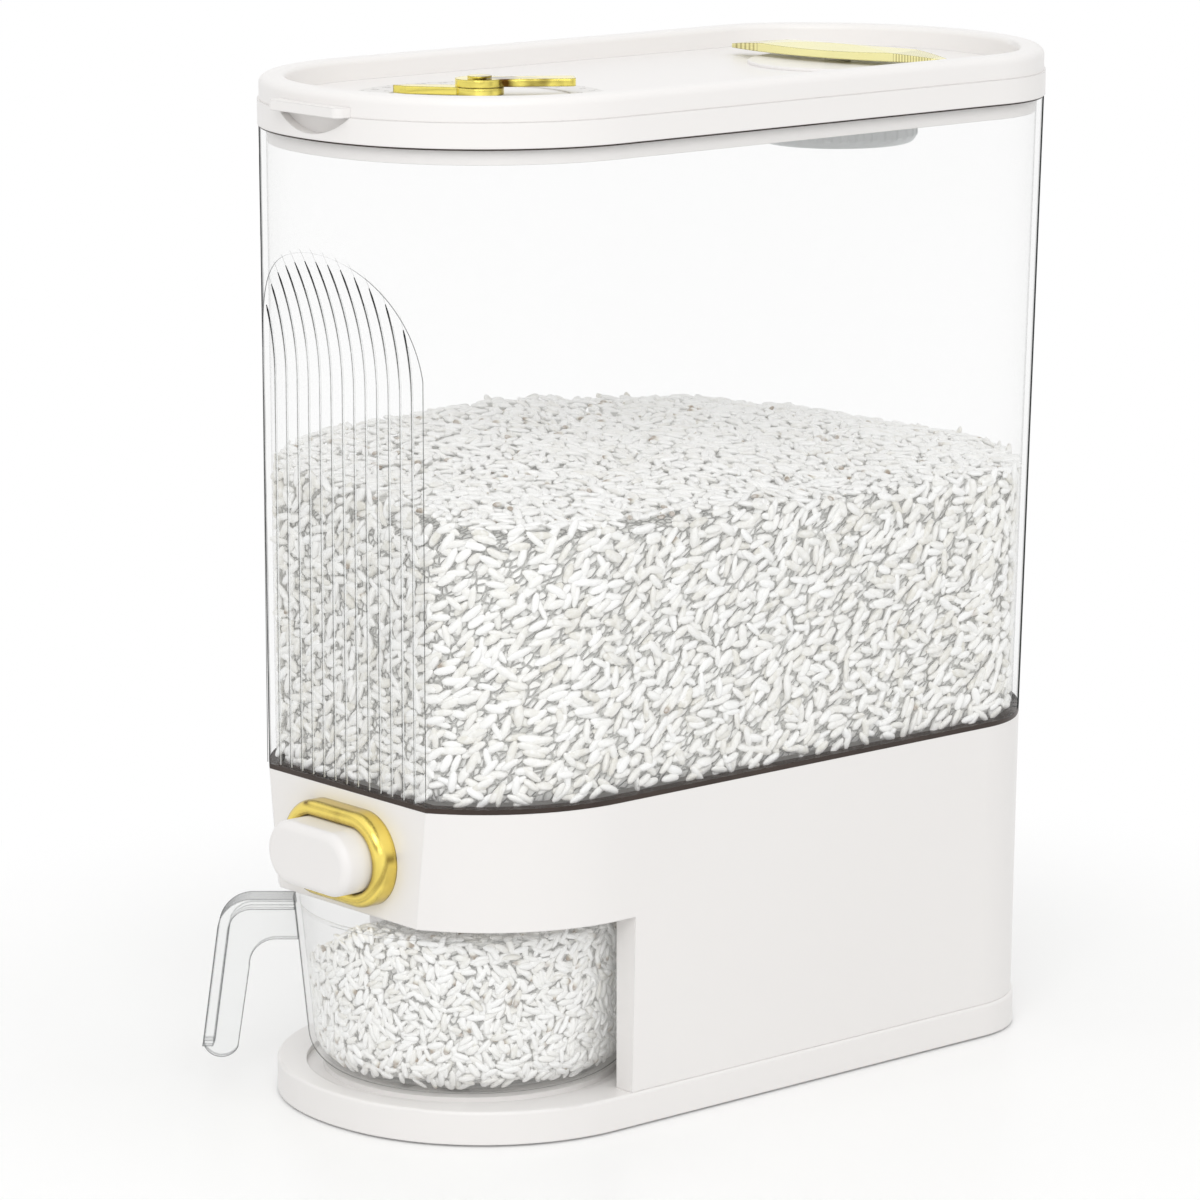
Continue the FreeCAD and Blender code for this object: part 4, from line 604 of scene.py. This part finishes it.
def fillCore():
    # a closed body under the loose grains, so that no light shows through them
    def under(x, y):
        return riceLevel(x, y) - hopperRice["coreUnder"]
    levels = np.linspace(hopperRice["coreLow"], hopperRice["coreHigh"], 12)
    rings = [hopperRing(z, hopperRice["coreInset"])[::6, :2] for z in levels]
    count = min(len(ring) for ring in rings)
    points = []
    for z, ring in zip(levels, rings):
        points += [(x * mm, y * mm, min(z, under(x, y)) * mm) for x, y in ring[:count]]
    shares = (0.8, 0.6, 0.4, 0.2)
    for share in shares:
        points += [(x * mm, y * mm, under(x, y) * mm) for x, y in rings[-1][:count] * share]
    last = len(points) - count
    points.append((0.0, 0.0, under(0.0, 0.0) * mm))
    faces = bridge(len(levels) + len(shares), count)
    faces += [(last + index, last + (index + 1) % count, len(points) - 1) for index in range(count)]
    faces.append(tuple(range(count))[::-1])
    makeObject("hopper_rice_core", points, faces, hopperCore, "dispenser", "clear_shell")


# what shows between the loose grains: a surface drawn as packed grains with dark lines of painted shade
# between them, and a painted glow that is stronger in the cup
coreLook = {"grain": (0.93, 0.93, 0.91), "shadedSeam": (0.62, 0.62, 0.59), "lean": 0.6,
            "stretch": 2.2, "scale": 420.0, "sharp": 6.0, "hopperGlow": 0.09, "cupGlow": 0.14}


def makeRiceCore(name, look, glow):
    paint = Paint(name, Roughness=0.8, Emission_Color=(1.0, 0.985, 0.96), Emission_Strength=glow)
    leaning = paint.node("ShaderNodeMapping", {"vector_type": "TEXTURE"},
                         {"Vector": paint.place(), "Rotation": (look["lean"], 0.0, 0.0),
                          "Scale": (1.0, look["stretch"], 1.0)})
    # the dark lines between the drawn grains are painted shade
    shadedSeam = paint.node("ShaderNodeTexVoronoi", {"feature": "DISTANCE_TO_EDGE"},
                      {"Vector": leaning, "Scale": look["scale"]})
    grain = (shadedSeam * look["sharp"]).clamp()
    paint.feed(Base_Color=paint.mix(grain, look["shadedSeam"], look["grain"]),
               Normal=paint.bump(grain, 0.0012, 0.9))
    return paint


hopperCore = makeRiceCore("rice_core", coreLook, coreLook["hopperGlow"])
cupCore = makeRiceCore("cup_rice_core", coreLook, coreLook["cupGlow"])
fillCore()
fillHopper()

# the cup's rice follows the bowl's inner profile

cupSizes = {"centreY": -92.0, "floor": 15.2, "foot": 48.0, "heelRun": 9.8, "heelRise": 8.9,
            "rim": 62.6, "rimZ": 74.3, "level": 73.0, "middle": 69.0, "slope": 0.5}
cupRice = {"around": 58.0, "height": 60.0, "across": 124.0,
           "walls": ((0.95, 1.75, 26000), (1.4, 1.7, 22000), (2.0, 1.8, 14000)),
           "tops": ((0.0, 1.75, 12000), (-0.6, 1.75, 10000), (-1.4, 1.9, 6000)),
           "bed": (100.0, 1.9, 9000), "bedRadius": 45.0, "bedLift": 1.0,
           # the cup's grains get paler tones than the hopper walls' grains: painted light that lifts them
           "size": 0.78, "germs": 0.32, "shade": 4.0, "roll": 0.12, "stray": 0.3, "edge": 2.8,
           "heelSink": 0.35, "under": 0.6, "off": 0.7,
           "coreSides": 48, "coreLow": 17.6, "coreInset": 3.4, "coreUnder": 2.4}


def cupRadius(z):
    heel = cupSizes["heelRun"]
    rise = z - cupSizes["floor"]
    if rise < heel:
        return cupSizes["foot"] + math.sqrt(max(heel ** 2 - (heel - rise) ** 2, 0.0))
    share = (rise - heel) / (cupSizes["rimZ"] - cupSizes["floor"] - heel)
    low = cupSizes["foot"] + heel
    return low + (cupSizes["rim"] - low) * share


def cupLevel(x, y):
    # poured high on the right and low on the left, where the clear wall shows
    return (min(cupSizes["middle"] + cupSizes["slope"] * x, cupSizes["level"])
            + 0.5 * math.sin(x / 7.0 + 1.0) * math.cos(y / 8.0))


def fillCup():
    grains = []
    centre, floor = cupSizes["centreY"], cupSizes["floor"]
    around = 2 * math.pi * cupRice["around"]
    off, under, roll, stray = (cupRice[key] for key in ("off", "under", "roll", "stray"))
    for depth, gap, tries in cupRice["walls"]:
        for s, t, angle in dropGrains(around, cupRice["height"], gap, tries):
            z = floor + t
            turn = 2 * math.pi * s / around
            slope = max(1 - t / cupSizes["heelRun"], 0.0)
            radius = cupRadius(z) - depth * (1 + cupRice["heelSink"] * slope)
            x, y = radius * math.cos(turn), centre + radius * math.sin(turn)
            if not floor + depth * slope + off <= z <= cupLevel(x, y) - under:
                continue
            normal = Vector((math.cos(turn), math.sin(turn), -slope)).normalized()
            grains.append((x, y, z, *normal, -math.sin(turn), math.cos(turn), 0, angle))
    across = cupRice["across"]
    for lift, gap, tries in cupRice["tops"]:
        for s, t, angle in dropGrains(across, across, gap, tries):
            x, y = s - across / 2, t - across / 2 + centre
            z = cupLevel(x, y) + lift + random.normal(0, stray)
            if math.hypot(x, y - centre) > cupRadius(z) - cupRice["edge"]:
                continue
            slopeX = (cupLevel(x + 2, y) - cupLevel(x - 2, y)) / 4 + random.normal(0, roll)
            normal = Vector((-slopeX, random.normal(0, roll), 1.0)).normalized()
            level = normal.cross(Vector((0, 1, 0))).normalized() * -1
            grains.append((x, y, z, *normal, *level, angle))
    bed, gap, tries = cupRice["bed"]
    for s, t, angle in dropGrains(bed, bed, gap, tries):
        x, y = s - bed / 2, t - bed / 2
        if math.hypot(x, y) < cupRice["bedRadius"]:
            grains.append((x, y + centre, floor + cupRice["bedLift"], 0, 0, 1, 1, 0, 0, angle))
    print("stage: cup rice", len(grains))
    spreadGrains("cup_rice", grains, cupRice["size"], cupRice["germs"], cupRice["shade"], "cup",
                 "clear_cup")


def fillCupCore():
    count, centre = cupRice["coreSides"], cupSizes["centreY"]
    turns = [2 * math.pi * index / count for index in range(count)]
    points = []
    for z in (cupRice["coreLow"], *np.linspace(20, 34, 4)):
        radius = cupRadius(z) - cupRice["coreInset"]
        points += [(radius * math.cos(turn) * mm, (centre + radius * math.sin(turn)) * mm, z * mm)
                   for turn in turns]
    for share in (1.0, 0.66, 0.33):
        for turn in turns:
            heap = cupLevel(50 * math.cos(turn), centre + 50 * math.sin(turn))
            radius = (cupRadius(heap - 4) - cupRice["coreInset"]) * share
            x, y = radius * math.cos(turn), centre + radius * math.sin(turn)
            points.append((x * mm, y * mm, (cupLevel(x, y) - cupRice["coreUnder"]) * mm))
    faces = bridge(len(points) // count, count)
    faces += [tuple(range(count))[::-1], tuple(range(len(points) - count, len(points)))]
    makeObject("cup_rice_core", points, faces, cupCore, "cup", "clear_cup")


fillCupCore()
fillCup()
print("stage: rice done")


# the dark lines that the reeds' sharp valleys and the arch's edge show in clear plastic, and white glints
# beside the reed lines, drawn as thin tubes: painted shade and painted highlights

reedLook = {"pitch": 6.5, "count": 12, "face": 149.3, "turnZ": 268.0, "radius": 101.0,
            "low": 125.0, "top": 325.0, "thin": 0.17, "thick": 0.34, "tip": 0.15, "edge": 0.15,
            "stop": 2.2, "dark": 34.0, "out": 0.12, "glint": 0.24, "glintAside": 0.75,
            "glintOut": 0.1, "edgeOut": 0.05, "edgeFoot": 124.8, "widest": 75.0, "sides": 6}
lineLook = {"dark": (0.012, 0.014, 0.014), "faint": (0.22, 0.22, 0.215),
            "glint": (0.97, 0.98, 0.98), "glintShade": (0.90, 0.92, 0.92),
            "edge": (0.08, 0.085, 0.085), "edgeShade": (0.2, 0.2, 0.2),
            "fadeFrom": 0.016, "fadeTo": 0.032}


def coveY(z):
    rise = max(z - reedLook["turnZ"], 0.0)
    radius = reedLook["radius"]
    return -reedLook["face"] - radius + math.sqrt(radius ** 2 - rise ** 2)


def hopperFrontY(x, z):
    share = (z - hopperSizes["lowZ"]) / (hopperSizes["highZ"] - hopperSizes["lowZ"])
    ring = Plan(*hopperSizes["low"]).towards(Plan(*hopperSizes["high"]), share).outline()
    front = ring[ring[:, 1] < 0]
    front = front[np.argsort(front[:, 0])]
    return float(np.interp(x, front[:, 0], front[:, 1]))


def archTop(x):
    # the height at which the cove runs out through the hopper's outer face
    low, high = hopperSizes["lowZ"], reedLook["top"]
    for step in range(24):
        middle = (low + high) / 2
        if hopperFrontY(x, middle) < coveY(middle):
            low = middle
        else:
            high = middle
    return (low + high) / 2


def makeTube(route, radii, sides=reedLook["sides"]):
    points = []
    route = [Vector(point) for point in route]
    for index, (centre, radius) in enumerate(zip(route, radii)):
        ahead = route[min(index + 1, len(route) - 1)] - route[max(index - 1, 0)]
        across = ahead.cross(Vector((0, 1, 0))).normalized()
        other = ahead.cross(across).normalized()
        for side in range(sides):
            turn = 2 * math.pi * side / sides
            points.append((centre + (across * math.cos(turn) + other * math.sin(turn)) * radius) * mm)
    ends = [tuple(range(sides))[::-1], tuple(range(len(points) - sides, len(points)))]
    return points, bridge(len(route), sides) + ends


def joinParts(parts):
    points, faces = [], []
    for partPoints, partFaces in parts:
        faces += [tuple(index + len(points) for index in face) for face in partFaces]
        points += partPoints
    return points, faces


# the reed lines and the arch's line are painted shade, the glints painted highlights
paintedLine = Paint("clear_line", Roughness=0.25, Specular_IOR_Level=0.0)
lineNear = paintedLine.node("ShaderNodeAttribute", {"attribute_name": "near"}, out=2)
paintedLine.feed(Base_Color=paintedLine.mix(lineNear, lineLook["faint"], lineLook["dark"]),
             Alpha=(0.34 + lineNear * 0.65 + (paintedLine.noise(90.0) - 0.5) * 0.35).clamp())

paintedGlint = Paint("clear_glint", Roughness=0.2)
paintedGlint.feed(Base_Color=paintedGlint.mix(paintedGlint.noise(60.0), lineLook["glint"], lineLook["glintShade"]),
              Alpha=0.30 + paintedGlint.noise(40.0) * 0.35)

paintedEdge = Paint("clear_edge", Roughness=0.25)
edgeAside = paintedEdge.node("ShaderNodeSeparateXYZ", {}, [paintedEdge.place()]).math("ABSOLUTE")
edgeFade = paintedEdge.node("ShaderNodeMapRange", {},
                        {"Value": edgeAside, "From Min": lineLook["fadeFrom"],
                         "From Max": lineLook["fadeTo"]})
paintedEdge.feed(Base_Color=paintedEdge.mix(paintedEdge.noise(60.0), lineLook["edge"], lineLook["edgeShade"]),
             Alpha=0.06 + edgeFade * 0.6)


def makeReedLines():
    parts, glints, near = [], [], []
    for index in range(reedLook["count"] + 1):
        x = reedLook["pitch"] * (reedLook["count"] / 2 - index)
        top = archTop(x) - reedLook["stop"]
        heights = list(np.linspace(reedLook["low"], min(top, reedLook["turnZ"]), 5))
        if top > reedLook["turnZ"] + 2:
            heights += list(np.linspace(reedLook["turnZ"], top - 1.0, 14)[1:])
        closeness = [max(0.0, 1.0 - (top - z) / reedLook["dark"]) for z in heights]
        radii = [reedLook["thin"] + (reedLook["thick"] - reedLook["thin"]) * value
                 for value in closeness]
        radii[-1] = reedLook["tip"]
        parts.append(makeTube([(x, coveY(z) - reedLook["out"], z) for z in heights], radii))
        near += [value for value in closeness for side in range(reedLook["sides"])]
        glints.append(makeTube([(x + reedLook["glintAside"], coveY(z) - reedLook["glintOut"], z)
                                for z in heights[:-3]], [reedLook["glint"]] * (len(heights) - 3)))
    makeObject("reed_glints", *joinParts(glints), paintedGlint, "dispenser", "clear_shell")
    lines = makeObject("reed_valley_shade", *joinParts(parts), paintedLine, "dispenser", "clear_shell")
    lines.data.attributes.new("near", "FLOAT", "POINT").data.foreach_set("value", near)


def makeArchEdge():
    # the edge starts where the flat panel meets the round front at the hopper's foot
    wide, step = reedLook["pitch"] * reedLook["count"] / 2, 0.25
    while archTop(wide) > hopperSizes["lowZ"] + 0.5 and wide < reedLook["widest"]:
        wide += step
    wide -= step
    route = []
    for turn in np.linspace(0, math.pi, 81):
        x = wide * math.cos(turn)
        z = archTop(x)
        route.append((x, coveY(z) - reedLook["edgeOut"], z))
    first, last = ((*end[:2], reedLook["edgeFoot"]) for end in (route[0], route[-1]))
    route = [first, *route, last]
    print("stage: arch edge to", round(wide, 2))
    makeObject("arch_edge_shade", *makeTube(route, [reedLook["edge"]] * len(route)), paintedEdge,
               "dispenser", "clear_shell")


makeReedLines()
makeArchEdge()


# the date dial's print: a tick and a number for each day, and the months inside them

dialLook = {"centre": (0.0, -85.55), "top": 367.5, "dayRadius": 41.6, "daySize": 3.4,
            "monthRadius": 35.9, "monthSize": 3.1, "days": 31, "months": 12, "ink": 0.06,
            "tickFrom": 44.1, "tickTo": 45.4, "tickHalf": 0.13,
            "grey": (0.58, 0.57, 0.55), "deepGrey": (0.50, 0.49, 0.48)}
dialInk = Paint("dial_ink", Roughness=0.5)
dialInk.feed(Base_Color=dialInk.mix(dialInk.noise(300.0), dialLook["grey"],
                                    dialLook["deepGrey"]))


def writeNumber(value, size):
    text = bpy.data.curves.new("number", "FONT")
    text.body = str(value)
    text.size = size * mm
    text.extrude = dialLook["ink"] * mm
    text.align_x = text.align_y = "CENTER"
    text.resolution_u = 3
    holder = bpy.data.objects.new("number", text)
    bpy.context.scene.collection.objects.link(holder)
    bpy.context.view_layer.update()
    mesh = bpy.data.meshes.new_from_object(holder)
    points = [Vector(vertex.co) / mm for vertex in mesh.vertices]
    faces = [tuple(face.vertices) for face in mesh.polygons]
    bpy.data.objects.remove(holder)
    bpy.data.curves.remove(text)
    bpy.data.meshes.remove(mesh)
    return points, faces


def makeTick(turn, centre):
    out = Vector((-math.sin(turn), math.cos(turn), 0))
    side = Vector((out.y, -out.x, 0)) * dialLook["tickHalf"]
    near, far = (centre + out * dialLook[key] for key in ("tickFrom", "tickTo"))
    rise = Vector((0, 0, dialLook["ink"]))
    corners = [(corner + lift) * mm for lift in (-rise, rise)
               for corner in (near + side, far + side, far - side, near - side)]
    return corners, [(3, 2, 1, 0), (4, 5, 6, 7)] + bridge(2, 4)


def printDial():
    parts = []
    centre = Vector((*dialLook["centre"], dialLook["top"]))
    for kind in ("day", "month"):
        count, radius = dialLook[kind + "s"], dialLook[kind + "Radius"]
        for index in range(count):
            turn = -2 * math.pi * index / count
            spin = Matrix.Rotation(turn, 3, "Z")
            points, faces = writeNumber(index + 1, dialLook[kind + "Size"])
            parts.append(([(spin @ (point + Vector((0, radius, 0))) + centre) * mm
                           for point in points], faces))
            if kind == "day":
                parts.append(makeTick(turn - math.pi / count, centre))
    makeObject("dial_print", *joinParts(parts), dialInk, "lid", "dial_grey", smooth=False)
    print("stage: dial print")


def turnProfile(profile, centre, steps):
    # a closed turned solid about an upright axis
    points = []
    for radius, z in profile:
        for step in range(steps):
            turn = 2 * math.pi * step / steps
            points.append(Vector((centre[0] + radius * math.cos(turn),
                                  centre[1] + radius * math.sin(turn), z)) * mm)
    ends = [tuple(range(steps))[::-1], tuple(range(len(points) - steps, len(points)))]
    return points, bridge(len(profile), steps) + ends


# the ribbed basket that closes the moisture canister from below

dishLook = {"centre": (0.0, 88.55), "radius": 30.4, "low": 337.6, "high": 350.4, "round": 3.2,
            "ribs": 32, "rib": 0.5, "ribTop": 348.3, "lipLow": 348.2, "lipHigh": 348.5, "lip": 0.7}


def makeDish():
    low, high, radius, bend = (dishLook[key] for key in ("low", "high", "radius", "round"))
    inner = radius - dishLook["lip"]
    profile = [(radius - bend + bend * math.cos(turn), low + bend + bend * math.sin(turn))
               for turn in np.linspace(-math.pi / 2, 0, 7)]
    profile += [(radius, dishLook["lipLow"]), (inner, dishLook["lipHigh"]), (inner, high)]
    points, faces = turnProfile(profile, dishLook["centre"], dishLook["ribs"] * 8)
    centre = Vector((*dishLook["centre"], 0.0)) * mm
    for index, point in enumerate(points):
        # upright ribs stand between the fillet and the shoulder
        if (low + bend) * mm - 1e-6 < point.z < dishLook["ribTop"] * mm and index // 4 % 2:
            out = Vector((point.x - centre.x, point.y - centre.y, 0.0)).normalized()
            points[index] = point + out * dishLook["rib"] * mm
    makeObject("canister_basket", points, faces, smokeGrey, "canister", "white_inner", smooth=False)


# the return springs, wound with closed ends

springLook = {"places": (-16.0, 16.0), "z": 86.6, "from": -144.3, "to": -120.0, "radius": 3.4,
              "wire": 0.5, "turns": 6.0, "points": 28, "sides": 10, "travel": 11.0}


def makeSprings():
    low, high, wire = (springLook[key] for key in ("from", "to", "wire"))
    steps = int(springLook["turns"] * springLook["points"])
    for name, x in zip(("return_spring_left", "return_spring_right"), springLook["places"]):
        route = []
        for step in range(steps + 1):
            turn = 2 * math.pi * step / springLook["points"]
            rise = float(np.interp(step / steps, (0.0, 0.14, 0.86, 1.0), (0.0, 0.05, 0.95, 1.0)))
            route.append((x + springLook["radius"] * math.cos(turn),
                          low + wire + (high - low - 2 * wire) * rise,
                          springLook["z"] + springLook["radius"] * math.sin(turn)))
        tube = makeTube(route, [wire] * len(route), springLook["sides"])
        spring = makeObject(name + "_coil", *tube, steel, "dispenser", "steel")
        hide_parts(name)
        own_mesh(spring)


printDial()
makeDish()
makeSprings()

# floor, light and camera

stageLook = {"floor": (0.88, 0.88, 0.875), "speck": (0.885, 0.885, 0.88), "glow": 0.09,
             "near": 0.20, "far": 0.42, "size": 14.0, "world": 0.81}
lampLook = {"key": {"place": (1.5, -1.35, 1.6), "width": 1.6, "power": 18.0},
            "top": {"place": (0.1, -0.1, 2.2), "width": 1.8, "power": 3.0}}
lampAim = (0.0, 0.0, 0.2)
plainWhite = (1.0, 1.0, 1.0)


def makeFloor():
    bpy.ops.mesh.primitive_plane_add(size=stageLook["size"], location=(0, 0, 0))
    floor = bpy.context.object
    floor.name = "floor"
    paint = Paint("floor", Roughness=0.35, Specular_IOR_Level=0.2)
    speck = paint.noise(3.0, 2.0)
    paint.feed(Base_Color=paint.mix(speck, stageLook["floor"], stageLook["speck"]))
    glow = paint.node("ShaderNodeEmission", {}, {"Color": plainWhite,
                                                 "Strength": stageLook["glow"]})
    plain = Socket(paint, paint.shader.outputs[0])
    lit = paint.node("ShaderNodeAddShader", {}, [plain, glow])
    # the floor keeps the shadow near the object and runs out into plain white
    white = paint.node("ShaderNodeEmission", {}, {"Color": plainWhite, "Strength": 1.0})
    away = paint.node("ShaderNodeVectorMath", {"operation": "LENGTH"}, [paint.place()], 1)
    away = paint.node("ShaderNodeMapRange", {"interpolation_type": "SMOOTHSTEP"},
                      {"Value": away, "From Min": stageLook["near"], "From Max": stageLook["far"]})
    shown = paint.node("ShaderNodeMixShader", {}, [away, lit, white])
    paint.show(paint.node("ShaderNodeMixShader", {}, [paint.plainRays(), plain, shown]))
    floor.data.materials.append(paint.material)


def makeWorld():
    world = bpy.data.worlds.new("studio")
    bpy.context.scene.world = world
    nodes = Nodes(world, "ShaderNodeOutputWorld")
    soft = nodes.node("ShaderNodeBackground", {}, [plainWhite, stageLook["world"]])
    white = nodes.node("ShaderNodeBackground", {}, [plainWhite, 1.0])
    nodes.show(nodes.node("ShaderNodeMixShader", {}, [nodes.plainRays(), soft, white]))


def aimAt(thing, place, target):
    bpy.context.scene.collection.objects.link(thing)
    thing.location = place
    thing.rotation_euler = (Vector(target) - Vector(place)).to_track_quat("-Z", "Y").to_euler()


def makeLamp(name, look):
    data = bpy.data.lights.new(name, "AREA")
    data.shape = "SQUARE"
    data.size = look["width"]
    data.energy = look["power"]
    aimAt(bpy.data.objects.new(name, data), look["place"], lampAim)


cameraLook = {"place": (1.48580, -1.30933, 0.57919), "target": (-0.03401, -0.00002, 0.16669),
              "lens": 162.135, "sensor": 36.0, "near": 0.05, "far": 60.0}


def makeCamera():
    data = bpy.data.cameras.new("camera")
    data.lens = cameraLook["lens"]
    data.sensor_width = cameraLook["sensor"]
    data.clip_start = cameraLook["near"]
    data.clip_end = cameraLook["far"]
    camera = bpy.data.objects.new("camera", data)
    aimAt(camera, cameraLook["place"], cameraLook["target"])
    bpy.context.scene.camera = camera


makeFloor()
makeWorld()
for name, look in lampLook.items():
    makeLamp(name, look)
makeCamera()
bpy.context.scene.view_settings.view_transform = "Standard"
print("stage: camera and light")
